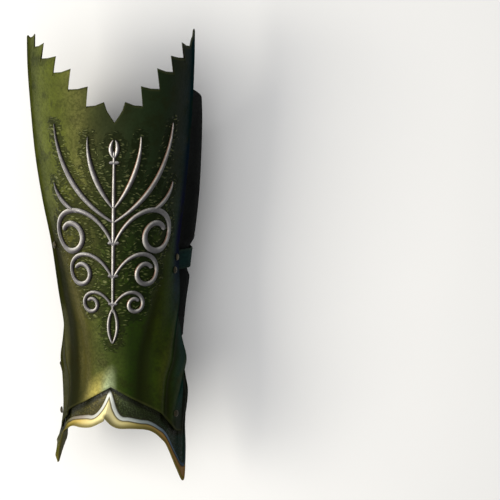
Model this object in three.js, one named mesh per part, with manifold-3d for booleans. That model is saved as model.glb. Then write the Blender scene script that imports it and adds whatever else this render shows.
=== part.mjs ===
// A leather greave, a guard for the shin from below the knee to the instep, lying on its back.
// It is a moulded shell with a serrated opening at the knee, a lipped ankle plate under the shell's lower
// edge, a calf panel that closes the back, raised scrollwork, a strap with its buckle, and rivets.
//
// Millimetres. X runs across the leg, Y up the leg from the ankle to the knee, and Z is the height above the
// surface that the greave lies on, so the front of the shin faces up. Heights are measured up the leg, and
// the tip of the ankle plate is a little below zero. A turn is the angle in degrees around the leg from the middle of the front,
// positive to the right, and "out" is a distance outward from the leg form, which is the shell's outside.
import * as THREE from "three";
import { mergeVertices } from "three/addons/utils/BufferGeometryUtils.js";
import Module from "manifold-3d";

const wasm = await Module();
wasm.setup();
const { clamp, degToRad, lerp, smoothstep } = THREE.MathUtils;

const LENGTH = 400;
const GAP = 0.4;
const SHELL_WALL = 2.4;
const PLATE_WALL = 2.4;
const PANEL_WALL = 2;
const STRAP_WALL = 2;
const STRAP_WIDTH = 16;

// The leg form: middle, half the width, height of the front line and of the widest line, the line of the
// back, and how far the section is turned about the leg, as the ankle is turned against the knee.
const LEG = [
  { height: 0, centre: 4.5, half: 58.5, front: 118, mid: 55, back: 4, twist: -9 },
  { height: 25, centre: 5.5, half: 57.5, front: 118, mid: 56, back: 6, twist: -9 },
  { height: 50, centre: 8, half: 55, front: 118, mid: 57, back: 8, twist: -8.6 },
  { height: 80, centre: 9.5, half: 55.6, front: 119, mid: 58, back: 9, twist: -8.2 },
  { height: 95, centre: 9.6, half: 55.8, front: 119.5, mid: 58, back: 9, twist: -8 },
  { height: 111, centre: 9.4, half: 57.3, front: 120, mid: 59, back: 8, twist: -7.2 },
  { height: 130, centre: 8.6, half: 54.8, front: 121, mid: 59, back: 6, twist: -6 },
  { height: 145, centre: 8, half: 53.4, front: 122, mid: 60, back: 4, twist: -5 },
  { height: 170, centre: 5.6, half: 54.4, front: 125, mid: 62, back: 0, twist: -2.4 },
  { height: 210, centre: 2.6, half: 57.3, front: 129, mid: 64, back: -4, twist: 1.2 },
  { height: 250, centre: 1, half: 63.4, front: 132, mid: 66, back: -6, twist: 3.4 },
  { height: 290, centre: 0, half: 68.3, front: 136, mid: 67, back: -5, twist: 4.9 },
  { height: 330, centre: -0.2, half: 71.6, front: 138, mid: 67, back: -2, twist: 5.7 },
  { height: 370, centre: -0.3, half: 73.8, front: 140, mid: 68, back: 4, twist: 6 },
  { height: 405, centre: 0, half: 74.2, front: 142, mid: 68, back: 8, twist: 6 },
];

// Half widths of the calf behind the shell, where the muscle swells more on the right.
const CALF = [
  { height: 110, left: 50, right: 51 },
  { height: 145, left: 49.6, right: 55 },
  { height: 178, left: 50.6, right: 62.5 },
  { height: 210, left: 53.6, right: 69 },
  { height: 250, left: 59.4, right: 75.8 },
  { height: 290, left: 64.4, right: 79.6 },
  { height: 330, left: 67.8, right: 80.8 },
  { height: 365, left: 70, right: 79 },
];

// Rear edges of the shell, as turns. The left one draws in at the ankle.
const SHELL_LEFT = -86;
const SHELL_LEFT_ANKLE = -76;
const SHELL_RIGHT = 79;

// Teeth of the knee opening on each side, from the middle outward. Each has a sharp tip, a nearly level edge
// running outward from it, and the corner where that edge meets the flank of the next tooth.
const TEETH = [
  { tip: 7.2, tipHeight: 341, corner: 19.4, cornerHeight: 337 },
  { tip: 18.1, tipHeight: 354.1, corner: 32.5, cornerHeight: 351 },
  { tip: 30.1, tipHeight: 368.9, corner: 45.2, cornerHeight: 364.6 },
  { tip: 41.8, tipHeight: 379, corner: 58, cornerHeight: 376 },
  { tip: 53.7, tipHeight: 389.8, corner: 66.4, cornerHeight: 385.8 },
];
const LAST_TOOTH = {
  left: { tip: 65.7, tipHeight: 397, corner: 74, cornerHeight: 393.6, end: 395 },
  right: { tip: 69, tipHeight: 391, corner: 74, cornerHeight: 394, end: LENGTH },
};
const NOTCH_HEIGHT = 323.5;
const TOOTH_LEAN = 2.6;
const TOOTH_ZONE = 13;
const MOST_BEVEL = 1.2;

// Lower edge of the shell, a pointed arch over the instep.
const LOWER_EDGE = [
  { turn: 0, height: 90.5 },
  { turn: 10, height: 85.8 },
  { turn: 20, height: 80.8 },
  { turn: 30, height: 75.6 },
  { turn: 40, height: 70 },
  { turn: 50, height: 62.5 },
  { turn: 60, height: 52 },
  { turn: 70, height: 45.5 },
  { turn: 90, height: 42 },
];

// Lines of the flutes, which start on the flanks of the shin and run in towards the ankle: turns of the
// inner valley, the inner crest, the outer valley and the outer crest at each height.
const FLUTES = [
  { height: 40, valley: 26, crest: 45, groove: 52, ridge: 57 },
  { height: 65, valley: 26.5, crest: 44, groove: 51.5, ridge: 59 },
  { height: 90, valley: 27.5, crest: 45, groove: 55, ridge: 70 },
  { height: 116, valley: 28.5, crest: 51, groove: 63, ridge: 84 },
  { height: 140, valley: 35, crest: 63, groove: 74, ridge: 98 },
  { height: 165, valley: 42, crest: 76, groove: 88, ridge: 110 },
  { height: 210, valley: 51, crest: 88, groove: 100, ridge: 120 },
  { height: 260, valley: 58, crest: 96, groove: 110, ridge: 130 },
];
const FLUTE_DEPTH = { valley: 2.2, crest: 1.8, groove: 1.6, ridge: 1.6 };
const FLUTE_WIDTH = 6.5;
const FLUTE_SLACK = 2.4;
const FLUTE_START = 265;
const FLUTE_FULL = 105;
const LIP_OUT = 5;
const LIP_REACH = 42;

// Ankle plate on each side of the cusp over the instep: at each angle away from the cusp, the height of its
// rim, of its raised rib and of its hidden upper edge, and how far the rim stands out from the leg form.
const PLATE = {
  left: [
    { away: 0, rim: 65.5, rib: 87, top: 106, flare: 20 },
    { away: 5, rim: 61.6, rib: 73, top: 105, flare: 19 },
    { away: 10, rim: 58.6, rib: 66.4, top: 104, flare: 17.5 },
    { away: 18, rim: 56.8, rib: 64.6, top: 102, flare: 14 },
    { away: 29, rim: 55.6, rib: 62, top: 99, flare: 9 },
    { away: 38, rim: 52.6, rib: 59.4, top: 95, flare: 5.5 },
    { away: 43, rim: 49.8, rib: 57, top: 92, flare: 4.4 },
    { away: 48, rim: 47.4, rib: 55, top: 91, flare: 3.6 },
    { away: 52, rim: 44.6, rib: 53, top: 90.5, flare: 3 },
    { away: 54.5, rim: 40, rib: 49.5, top: 90.5, flare: 2.6 },
    { away: 56.8, rim: 26, rib: 41, top: 90, flare: 2 },
    { away: 59, rim: 15.5, rib: 29, top: 89, flare: 1.2 },
    { away: 63, rim: 15.5, rib: 27.5, top: 88, flare: 0.8 },
    { away: 69, rim: 16.5, rib: 28.5, top: 88, flare: 1 },
    { away: 80, rim: 17, rib: 28, top: 99, flare: 1.6 },
    { away: 92, rim: 25, rib: 36, top: 101, flare: 1.6 },
    { away: 98, rim: 37, rib: 48, top: 100, flare: 1.2 },
    { away: 105, rim: 50, rib: 60, top: 97, flare: 0.6 },
    { away: 112, rim: 58, rib: 68, top: 92, flare: 0 },
  ],
  right: [
    { away: 0, rim: 68, rib: 88, top: 106, flare: 20 },
    { away: 5, rim: 61.6, rib: 74, top: 105, flare: 19.5 },
    { away: 10, rim: 58.8, rib: 66.4, top: 104, flare: 18.5 },
    { away: 17, rim: 58, rib: 64.4, top: 102, flare: 16.5 },
    { away: 26, rim: 56.4, rib: 61.6, top: 99, flare: 14 },
    { away: 33, rim: 53.8, rib: 59.6, top: 96, flare: 11 },
    { away: 40, rim: 49.2, rib: 56, top: 93, flare: 8 },
    { away: 47, rim: 43.2, rib: 51.4, top: 90, flare: 5.6 },
    { away: 53, rim: 37.6, rib: 47.4, top: 88, flare: 4 },
    { away: 60, rim: 28.4, rib: 40, top: 87, flare: 2 },
    { away: 69.5, rim: 14.4, rib: 26.5, top: 86, flare: 0.4 },
    { away: 77, rim: 5, rib: 17.5, top: 89, flare: -0.4 },
    { away: 83, rim: -1.5, rib: 11.5, top: 93.5, flare: -0.7 },
    { away: 88, rim: -5, rib: 9, top: 96, flare: -0.7 },
    { away: 93, rim: -3, rib: 10, top: 98, flare: -0.7 },
    { away: 99, rim: 9, rib: 21, top: 98.5, flare: -0.5 },
    { away: 106, rim: 27, rib: 38, top: 97, flare: 0 },
    { away: 114, rim: 52, rib: 62, top: 92, flare: 0 },
  ],
};
const CUSP_TURN = -1.5;
const PLATE_GAP = 1.3;

// How far the plate's wings stand out from the leg form behind the shell's rear edges.
const WING = [
  { height: 0, left: 2, right: -0.7 },
  { height: 30, left: 1.8, right: -1 },
  { height: 45, left: 0.8, right: -0.4 },
  { height: 62, left: 0, right: 1 },
  { height: 76, left: -0.6, right: 1 },
  { height: 88, left: 1.6, right: -1.2 },
  { height: 102, left: 3.6, right: -3.4 },
];
const RIB_HEIGHT = 1.2;
const RIB_HALF = 2.4;
const RIM_BAND = 0.8;
const PLATE_STEPS = 56;

// Calf panel: turns from its right margin inside the shell, round the back, to its left margin, with the
// steps to the next one. Its upper edge dips at the middle of the back for the bend of the knee.
const PANEL = [
  { turn: 64, steps: 4 },
  { turn: 79, steps: 5 },
  { turn: 100, steps: 17 },
  { turn: 256, steps: 8 },
  { turn: 298, steps: 0 },
];
const PANEL_BOTTOM = 128;
const PANEL_TOP_SIDE = 352;
const PANEL_TOP_BACK = 300;

// Strap: turns of its two ends and of the joint at the buckle, and heights of its middle at the ends.
const STRAP_RIGHT = 61;
const STRAP_LEFT = 299;
const STRAP_LOW = 195;
const STRAP_HIGH = 214;
const WAIST_FLAT = 9.6;
const WAIST_REACH = 18;

// Scrollwork on the front of the shin. Each stroke starts at a place across and up the shell and runs for its
// length; its heading turns by `bend` degrees, more towards its end the nearer `tight` is to 1; its width is
// given at the start and the end, with a swell between. The stem and its collars are in the middle, and each
// of the branches has a mirror image.
const STEM = [
  { across: 0, height: 158, heading: 90, bend: 0, tight: 0, length: 142, start: 2.2, swell: 1.2, end: 2.2 },
  { across: -4.5, height: 166, heading: 0, bend: 0, tight: 0, length: 9, start: 2.4, swell: 1.2, end: 2.4 },
  { across: -5, height: 191, heading: 0, bend: 0, tight: 0, length: 10, start: 2.6, swell: 1.2, end: 2.6 },
  { across: -5.5, height: 220, heading: 0, bend: 0, tight: 0, length: 11, start: 2.8, swell: 1.2, end: 2.8 },
  { across: -4.5, height: 290, heading: 0, bend: 0, tight: 0, length: 9, start: 2.4, swell: 1.2, end: 2.4 },
];
const BRANCHES = [
  { across: 0, height: 162, heading: 241, bend: 58, tight: 0, length: 33, start: 1.8, swell: 1.4, end: 1.6 },
  { across: 0, height: 163, heading: 60, bend: -480, tight: 0.86, length: 74, start: 1.8, swell: 1, end: 3.2 },
  { across: 0, height: 188, heading: 64, bend: -490, tight: 0.84, length: 116, start: 2.2, swell: 1.2, end: 3.8 },
  { across: 0, height: 217, heading: 68, bend: -500, tight: 0.82, length: 160, start: 2.4, swell: 1.6, end: 4.6 },
  { across: 0, height: 238, heading: 30, bend: 54, tight: 0.1, length: 106, start: 2, swell: 3.4, end: 0.7 },
  { across: 0, height: 250, heading: 50, bend: 42, tight: 0.2, length: 68, start: 1.8, swell: 3.2, end: 0.7 },
  { across: 33, height: 246, heading: 18, bend: 58, tight: 0.3, length: 38, start: 1.6, swell: 3, end: 0.7 },
  { across: 0, height: 294, heading: 56, bend: 70, tight: 0.3, length: 17, start: 1.8, swell: 2.6, end: 0.8 },
];
const STROKE_RISE = 1.5;
const STROKE_CREST = 0.42;
const STEP_LENGTH = 13;
const STEP_BEND = 30;

// Rivets, each through everything under it: how far the head is seated above the shell and how far the shank
// reaches below it, and the radii of heads and shanks.
const RIVETS = [
  { name: "strap_rivet_right_low", turn: 67.3, height: 190.5, seat: 0.8, reach: 8.6 },
  { name: "strap_rivet_right_high", turn: 71, height: 201.5, seat: 0.8, reach: 8.6 },
  { name: "strap_rivet_left", turn: -65.5, height: 213.5, seat: 0.8, reach: 8.6 },
  { name: "plate_rivet_right", turn: 63.5, height: 62, seat: 1.3, reach: 6.6 },
  { name: "plate_rivet_left", turn: -63.5, height: 62, seat: 1.3, reach: 6.6 },
];
const RIVET_HEAD = 3;
const RIVET_DOME = 1.3;
const RIVET_SHANK = 1.3;
const RIVET_SIDES = 10;

// Buckle at the left of the back, a flat frame with its tongue, and how far the straps overlap under it.
const BUCKLE = { turn: 252, length: 17, width: 22, bar: 2.6, thickness: 2, lift: 1.6 };
const OVERLAP_FROM = 240;
const OVERLAP_TO = 266;

// A smooth curve through the rows of a table, giving the column `value` as a function of the column `at`.
function column(rows, at, value) {
  const x = rows.map((row) => row[at]);
  const y = rows.map((row) => row[value]);
  const last = x.length - 1;
  const slope = x.map((_, i) => {
    const before = Math.max(i - 1, 0);
    const after = Math.min(i + 1, last);
    return (y[after] - y[before]) / (x[after] - x[before]);
  });
  return (t) => {
    let i = 0;
    while (i < last - 1 && t > x[i + 1]) i += 1;
    const span = x[i + 1] - x[i];
    const s = clamp((t - x[i]) / span, 0, 1);
    const s2 = s * s;
    const s3 = s2 * s;
    const ends = y[i] * (2 * s3 - 3 * s2 + 1) + y[i + 1] * (3 * s2 - 2 * s3);
    return ends + span * (slope[i] * (s3 - 2 * s2 + s) + slope[i + 1] * (s3 - s2));
  };
}

// All the columns of a table but the one it is read by, each as a smooth curve.
function columns(rows, at) {
  const names = Object.keys(rows[0]).filter((name) => name !== at);
  return Object.fromEntries(names.map((name) => [name, column(rows, at, name)]));
}

const leg = columns(LEG, "height");
const calf = columns(CALF, "height");
const flutes = columns(FLUTES, "height");
const plateSides = { left: columns(PLATE.left, "away"), right: columns(PLATE.right, "away") };
const wing = columns(WING, "height");
const lowerEdge = column(LOWER_EDGE, "turn", "height");

// A point `out` outside an egg-shaped section of the leg, with its own half width on this side.
function sectionPoint(turn, height, out, half) {
  const angle = degToRad(turn);
  const twist = degToRad(leg.twist(height));
  const mid = leg.mid(height);
  const deep = Math.cos(angle) >= 0 ? leg.front(height) - mid : mid - leg.back(height);
  const normalX = deep * Math.sin(angle);
  const normalZ = half * Math.cos(angle);
  const size = Math.hypot(normalX, normalZ);
  const across = half * Math.sin(angle) + (out * normalX) / size;
  const up = deep * Math.cos(angle) + (out * normalZ) / size;
  return [
    leg.centre(height) + across * Math.cos(twist) + up * Math.sin(twist),
    height - LENGTH / 2,
    mid + up * Math.cos(twist) - across * Math.sin(twist),
  ];
}

const bump = (distance, width) => Math.exp(-((distance / width) ** 2));

// How far the flutes raise or sink the surface, and the lip that turns out above the shell's lower edge.
function relief(turn, height) {
  const side = Math.abs(turn);
  const strength = 1 - smoothstep(height, FLUTE_FULL, FLUTE_START);
  const flute =
    FLUTE_DEPTH.crest * bump(side - flutes.crest(height), FLUTE_WIDTH) -
    FLUTE_DEPTH.valley * bump(side - flutes.valley(height), FLUTE_WIDTH) +
    FLUTE_DEPTH.ridge * bump(side - flutes.ridge(height), FLUTE_WIDTH) -
    FLUTE_DEPTH.groove * bump(side - flutes.groove(height), FLUTE_WIDTH * 0.7);
  const near = clamp(1 - (height - lowerEdge(side)) / LIP_REACH, 0, 1);
  const lip = LIP_OUT * near * near * Math.cos(degToRad(Math.min(side, 90)));
  return strength * flute + lip;
}

// Rear edges of the shell at a height, as the size of the turn on each side.
const shellRear = {
  left: (height) => -lerp(SHELL_LEFT_ANKLE, SHELL_LEFT, smoothstep(height, 95, 200)),
  right: () => SHELL_RIGHT,
};

const legPoint = (turn, height, out = 0) =>
  sectionPoint(turn, height, relief(turn, height) + out, leg.half(height));

// A closed wall between two surfaces on the same grid: outside and inside give a point for each step across,
// which runs to the right, and each step up.
function wall(outside, inside, acrossSteps, upSteps) {
  const positions = [];
  const row = acrossSteps + 1;
  const layer = row * (upSteps + 1);
  for (const surface of [outside, inside]) {
    for (let up = 0; up <= upSteps; up += 1) {
      for (let across = 0; across <= acrossSteps; across += 1) positions.push(...surface(across, up));
    }
  }
  const index = [];
  const face = (a, b, c, d) => index.push(a, b, c, a, c, d);
  for (let up = 0; up < upSteps; up += 1) {
    for (let across = 0; across < acrossSteps; across += 1) {
      const a = up * row + across;
      face(a, a + 1, a + row + 1, a + row);
      face(layer + a, layer + a + row, layer + a + row + 1, layer + a + 1);
    }
    const left = up * row;
    const right = left + acrossSteps;
    face(left, left + row, layer + left + row, layer + left);
    face(right, layer + right, layer + right + row, right + row);
  }
  for (let across = 0; across < acrossSteps; across += 1) {
    const top = upSteps * row + across;
    face(across, layer + across, layer + across + 1, across + 1);
    face(top, top + 1, layer + top + 1, layer + top);
  }
  const geometry = new THREE.BufferGeometry();
  geometry.setAttribute("position", new THREE.Float32BufferAttribute(positions, 3));
  geometry.setIndex(index);
  return geometry;
}

// A solid from a geometry, for cutting and joining.
function solid(geometry) {
  const bare = geometry.clone();
  bare.deleteAttribute("normal");
  bare.deleteAttribute("uv");
  const merged = mergeVertices(bare, 1e-4);
  return new wasm.Manifold(
    new wasm.Mesh({
      numProp: 3,
      vertProperties: new Float32Array(merged.attributes.position.array),
      triVerts: new Uint32Array(merged.index.array),
    }),
  );
}

function geometryOf(manifold) {
  const mesh = manifold.getMesh();
  const geometry = new THREE.BufferGeometry();
  const positions = new Float32Array(mesh.numVert * 3);
  for (let i = 0; i < mesh.numVert; i += 1) {
    for (let k = 0; k < 3; k += 1) positions[3 * i + k] = mesh.vertProperties[i * mesh.numProp + k];
  }
  geometry.setAttribute("position", new THREE.BufferAttribute(positions, 3));
  geometry.setIndex([...mesh.triVerts]);
  return geometry;
}

// Knee opening: the points of the shell's upper edge on one side, from the middle outward. `root` is the
// turn at which the point's column of the surface leaves the zone of the teeth.
function teeth(side, rearTurn) {
  const points = [
    { turn: 0, height: NOTCH_HEIGHT, root: 0 },
    { turn: 2.6, height: NOTCH_HEIGHT + 4.6, root: 3 },
    { turn: 5.4, height: NOTCH_HEIGHT + 10.4, root: 6.2 },
  ];
  let inner = 6.6;
  for (const tooth of [...TEETH, LAST_TOOTH[side]]) {
    const { tip, tipHeight, corner, cornerHeight } = tooth;
    const root = inner + TOOTH_LEAN;
    const before = points.at(-1);
    if (before.turn > tip) {
      points.push({
        turn: lerp(before.turn, tip, 0.62),
        height: lerp(before.height, tipHeight, 0.4),
        root: lerp(inner, root, 0.75),
      });
    }
    points.push({ turn: tip, height: tipHeight, root });
    points.push({
      turn: lerp(tip, corner, 0.5),
      height: lerp(tipHeight, cornerHeight, 0.78),
      root: lerp(root, corner, 0.45),
    });
    points.push({ turn: corner, height: cornerHeight, root: corner });
    inner = corner;
  }
  points.push({ turn: rearTurn, height: LAST_TOOTH[side].end, root: rearTurn });
  return points;
}

function shinShell() {
  const left = teeth("left", -SHELL_LEFT).slice(1).reverse();
  const right = teeth("right", SHELL_RIGHT);
  const edge = [...left.map((p) => ({ ...p, turn: -p.turn, root: -p.root })), ...right];
  const steps = edge.length - 1;
  const bodyRows = 14;
  const toothRows = 2;
  const zone = column(
    [
      { turn: 0, height: NOTCH_HEIGHT - TOOTH_ZONE },
      ...TEETH.map((t) => ({ turn: t.corner, height: t.cornerHeight - TOOTH_ZONE })),
      { turn: 90, height: LENGTH - TOOTH_ZONE - 10 },
    ],
    "turn",
    "height",
  );
  // Where a column stands at each step up: evenly spread at the ankle, at its root below the teeth.
  const place = (across, up) => {
    const p = edge[across];
    const even = lerp(SHELL_LEFT, SHELL_RIGHT, across / steps);
    const base = zone(Math.abs(p.root));
    if (up > bodyRows) {
      const rise = (up - bodyRows) / toothRows;
      return [lerp(p.root, p.turn, rise), lerp(base, p.height, rise)];
    }
    const share = up / bodyRows;
    const height = lerp(lowerEdge(Math.abs(even)), base, share);
    const drawnIn = even < 0 ? (-even * shellRear.left(height)) / SHELL_LEFT : even;
    const turn = lerp(drawnIn, p.root, smoothstep(share, 0.35, 1));
    return [turn, lerp(lowerEdge(Math.abs(turn)), base, share)];
  };
  // The teeth are cut square to the front, so their inner outline lies right behind the outer one.
  const surface = (out) => (across, up) => {
    const [turn, height] = place(across, up);
    const rise = clamp((up - bodyRows) / toothRows, 0, 1);
    const square = Math.min(Math.tan(degToRad(Math.abs(turn))), MOST_BEVEL) * Math.sign(turn);
    const radius = leg.half(height);
    return legPoint(turn - THREE.MathUtils.radToDeg((out * square) / radius) * rise, height, out);
  };
  return wall(surface(0), surface(-SHELL_WALL), steps, bodyRows + toothRows);
}

// Ankle plate. Under the shell it lies a gap below it, past the shell's rear edges it stands out as a wing,
// and below the shell's lower edge it flares to its rim.
function anklePlate() {
  const first = CUSP_TURN - PLATE.left.at(-1).away;
  const last = CUSP_TURN + PLATE.right.at(-1).away;
  const half = PLATE_STEPS / 2;
  const tucked = -(SHELL_WALL + PLATE_GAP);
  const at = (turn, name) => {
    const side = turn < CUSP_TURN ? plateSides.left : plateSides.right;
    return side[name](Math.abs(turn - CUSP_TURN));
  };
  const level = (turn, height) => {
    const side = turn < 0 ? "left" : "right";
    const behind = smoothstep(Math.abs(turn) - shellRear[side](height), 1.5, 8);
    const under = lerp(tucked, wing[side](height), behind);
    const edge = lowerEdge(Math.abs(turn)) - 1;
    const fall = clamp((edge - height) / Math.max(edge - at(turn, "rim"), 6), 0, 1);
    return lerp(under, at(turn, "flare"), fall ** 1.4) - reliefFade(turn, height);
  };
  // Heights up the plate from the rim, with the rim's raised band and the raised rib.
  const rows = (turn) => {
    const [rim, rib, top] = ["rim", "rib", "top"].map((name) => at(turn, name));
    const edge = clamp(lowerEdge(Math.abs(turn)), rib + RIB_HALF + 1.5, top - 4);
    const below = rib - RIB_HALF;
    return [
      [rim, 0],
      [lerp(rim, below, 0.2), RIM_BAND],
      [lerp(rim, below, 0.7), RIM_BAND],
      [below, 0],
      [rib, RIB_HEIGHT],
      [rib + RIB_HALF, 0],
      [lerp(rib + RIB_HALF, edge, 0.5), 0],
      [edge, 0],
      [lerp(edge, top, 0.35), 0],
      [top, 0],
    ];
  };
  // Steps are closer together near the cusp.
  const turnAt = (across) => {
    const share = (across - half) / half;
    const reach = share < 0 ? CUSP_TURN - first : last - CUSP_TURN;
    return CUSP_TURN + reach * Math.sign(share) * lerp(share * share, Math.abs(share), 0.45);
  };
  const surface = (out) => (across, up) => {
    const turn = turnAt(across);
    const [height, raised] = rows(turn)[up];
    return legPoint(turn, height, level(turn, height) + (out === 0 ? raised : 0) + out);
  };
  return wall(surface(0), surface(-PLATE_WALL), PLATE_STEPS, 9);
}

// Below the shell's edge the flutes and the lip fade out of the plate, which is smooth.
function reliefFade(turn, height) {
  const edge = lowerEdge(Math.abs(turn));
  return relief(turn, height) * smoothstep(edge - height, 0, 16);
}

// Middle of the strap's height at a turn counted from the right, over the back, to the left.
const strapHeight = (turn) => lerp(STRAP_LOW, STRAP_HIGH, (turn - STRAP_RIGHT) / (STRAP_LEFT - STRAP_RIGHT));

// A point on the calf form behind the shell. Inside the shell's rear edges it follows the shell's inside,
// and behind them it swells to the calf. Nothing reaches below the surface that the greave lies on.
function calfPoint(turn, height, out, floor = 0) {
  const right = turn < 180;
  const past = right ? turn - shellRear.right() : 360 - shellRear.left(height) - turn;
  const free = smoothstep(past, 1, 16);
  const shellHalf = leg.half(height);
  const half = lerp(shellHalf, right ? calf.right(height) : calf.left(height), free);
  const slack = FLUTE_SLACK * (1 - smoothstep(height, 150, 215));
  const tuck = lerp(-(SHELL_WALL + GAP + slack), 0, free);
  const ripple = relief(right ? turn : 360 - turn, height) * (1 - smoothstep(past, -1, 12));
  const point = sectionPoint(turn, height, tuck + ripple + out, half);
  point[2] = Math.max(point[2], floor);
  return point;
}

// The strap draws the panel in under it by its own thickness and two gaps.
function waist(turn, height) {
  const away = Math.abs(height - strapHeight(turn));
  return (STRAP_WALL + 3 * GAP) * (1 - smoothstep(away, WAIST_FLAT, WAIST_REACH));
}

function calfPanel() {
  const turns = PANEL.flatMap(({ turn, steps }, i) =>
    Array.from({ length: steps }, (_, step) => lerp(turn, PANEL[i + 1].turn, step / steps)),
  );
  turns.push(PANEL.at(-1).turn);
  const rows = (turn) => {
    const back = (1 - Math.cos(degToRad(turn))) / 2;
    const top = lerp(PANEL_TOP_SIDE, PANEL_TOP_BACK, smoothstep(back, 0.35, 0.97));
    const strap = strapHeight(turn);
    const low = [PANEL_BOTTOM, lerp(PANEL_BOTTOM, strap - WAIST_REACH, 0.5)];
    const drawn = [strap - WAIST_REACH, strap - WAIST_FLAT, strap + WAIST_FLAT, strap + WAIST_REACH];
    const high = [0.2, 0.4, 0.6, 0.8, 1].map((share) => lerp(strap + WAIST_REACH, top, share));
    return [...low, ...drawn, ...high];
  };
  const surface = (inset) => (across, up) => {
    const turn = turns[across];
    const height = rows(turn)[up];
    return calfPoint(turn, height, -waist(turn, height) - inset, waist(turn, height) + inset);
  };
  return wall(surface(0), surface(PANEL_WALL), turns.length - 1, rows(turns[0]).length - 1);
}

// A length of strap between two turns, lying a gap outside the panel, or more by its lift.
function strapPiece(from, to, steps, lift = () => 0) {
  const turnAt = (across) => lerp(from, to, across / steps);
  const surface = (inset) => (across, up) => {
    const turn = turnAt(across);
    const height = strapHeight(turn) + (up - 0.5) * STRAP_WIDTH;
    return calfPoint(turn, height, lift(turn) - GAP - inset, GAP + inset);
  };
  return wall(surface(0), surface(STRAP_WALL), steps, 1);
}

// The long strap rises over the end of the buckle strap.
const longStrap = () =>
  strapPiece(STRAP_RIGHT, OVERLAP_TO, 34, (turn) => {
    return (STRAP_WALL + 2 * GAP) * smoothstep(turn, OVERLAP_FROM - 12, OVERLAP_FROM - 2);
  });

// One stroke of the scrollwork as a ridge with a flat crest, bent over the shell.
function strokeSolid({ across, height, heading, bend, tight, length, start, swell, end }, mirror) {
  const steps = Math.ceil(Math.max(length / STEP_LENGTH, Math.abs(bend) / STEP_BEND, 2));
  const path = [];
  let x = across;
  let y = height;
  const direction = (s) => degToRad(heading + bend * lerp(s, s * s, tight));
  for (let i = 0; i <= steps; i += 1) {
    const s = i / steps;
    path.push({ x, y, angle: direction(s), width: lerp(start, end, s) + swell * Math.sin(Math.PI * s) });
    const middle = direction(s + 0.5 / steps);
    x += (Math.cos(middle) * length) / steps;
    y += (Math.sin(middle) * length) / steps;
  }
  const ridge = (share, out) => (step, side) => {
    const p = path[mirror ? steps - step : step];
    const away = (side - 0.5) * p.width * share;
    const flatX = (p.x - away * Math.sin(p.angle)) * (mirror ? -1 : 1);
    const flatY = p.y + away * Math.cos(p.angle);
    const radius = (leg.half(flatY) + leg.front(flatY) - leg.mid(flatY)) / 2;
    return legPoint(THREE.MathUtils.radToDeg(flatX / radius), flatY, out);
  };
  const crest = ridge(STROKE_CREST, GAP + STROKE_RISE);
  return solid(wall(crest, ridge(1, GAP), steps, 1));
}

function scrollOrnament() {
  const pairs = BRANCHES.flatMap((row) => [strokeSolid(row, false), strokeSolid(row, true)]);
  const strokes = [...STEM.map((row) => strokeSolid(row, false)), ...pairs];
  return geometryOf(strokes.reduce((sum, stroke) => sum.add(stroke)));
}

// Turns and moves a geometry whose axis is +Z so that it stands on the surface at a turn and height.
function standOn(geometry, point, turn, height) {
  const foot = new THREE.Vector3(...point(turn, height, 0));
  const normal = new THREE.Vector3(...point(turn, height, 10)).sub(foot).normalize();
  const along = new THREE.Vector3(...point(turn + 1, height, 0)).sub(foot).normalize();
  const up = new THREE.Vector3().crossVectors(normal, along).normalize();
  const basis = new THREE.Matrix4().makeBasis(along.crossVectors(up, normal), up, normal);
  return geometry.applyMatrix4(basis.setPosition(foot));
}

// A domed rivet on its shank. With a clearance it is the hole that the shank passes through.
function rivet({ turn, height, seat, reach }, clearance = 0) {
  const shank = RIVET_SHANK + clearance;
  const hole = [
    [0, -reach - 1],
    [shank, -reach - 1],
    [shank, 3],
    [0, 3],
  ];
  const body = [
    [0, -reach],
    [shank, -reach],
    [shank, seat],
    [RIVET_HEAD, seat],
    [RIVET_HEAD * 0.82, seat + RIVET_DOME * 0.65],
    [RIVET_HEAD * 0.42, seat + RIVET_DOME],
    [0, seat + RIVET_DOME * 1.08],
  ];
  const profile = (clearance ? hole : body).map(([x, y]) => new THREE.Vector2(x, y));
  const lathe = new THREE.LatheGeometry(profile, RIVET_SIDES).rotateX(Math.PI / 2);
  return standOn(lathe, legPoint, turn, height);
}

// A piece with the holes of the rivets that pass through it.
function drilled(geometry, rivets) {
  const body = rivets.reduce((left, row) => left.subtract(solid(rivet(row, GAP))), solid(geometry));
  return geometryOf(body);
}

function buckle() {
  const { turn, length, width, bar, thickness, lift } = BUCKLE;
  const frame = rectangle(-length / 2, -width / 2, length / 2, width / 2, 2.2);
  const windowHeight = (width - 3 * bar) / 2;
  for (const side of [-1, 1]) {
    const middle = (side * (windowHeight + bar)) / 2;
    const low = middle - windowHeight / 2;
    frame.holes.push(rectangle(bar - length / 2, low, length / 2 - bar, low + windowHeight, 0.8));
  }
  const plateGeometry = new THREE.ExtrudeGeometry(frame, {
    depth: thickness,
    bevelEnabled: false,
    curveSegments: 1,
  });
  const over = (at, height, out) => calfPoint(at, height, out + STRAP_WALL + lift);
  return standOn(plateGeometry, over, turn, strapHeight(turn));
}

// A rectangle with round corners.
function rectangle(left, bottom, right, top, radius) {
  const shape = new THREE.Shape();
  shape.absarc(right - radius, top - radius, radius, 0, Math.PI / 2);
  shape.absarc(left + radius, top - radius, radius, Math.PI / 2, Math.PI);
  shape.absarc(left + radius, bottom + radius, radius, Math.PI, 1.5 * Math.PI);
  shape.absarc(right - radius, bottom + radius, radius, 1.5 * Math.PI, 2 * Math.PI);
  return shape;
}

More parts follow.
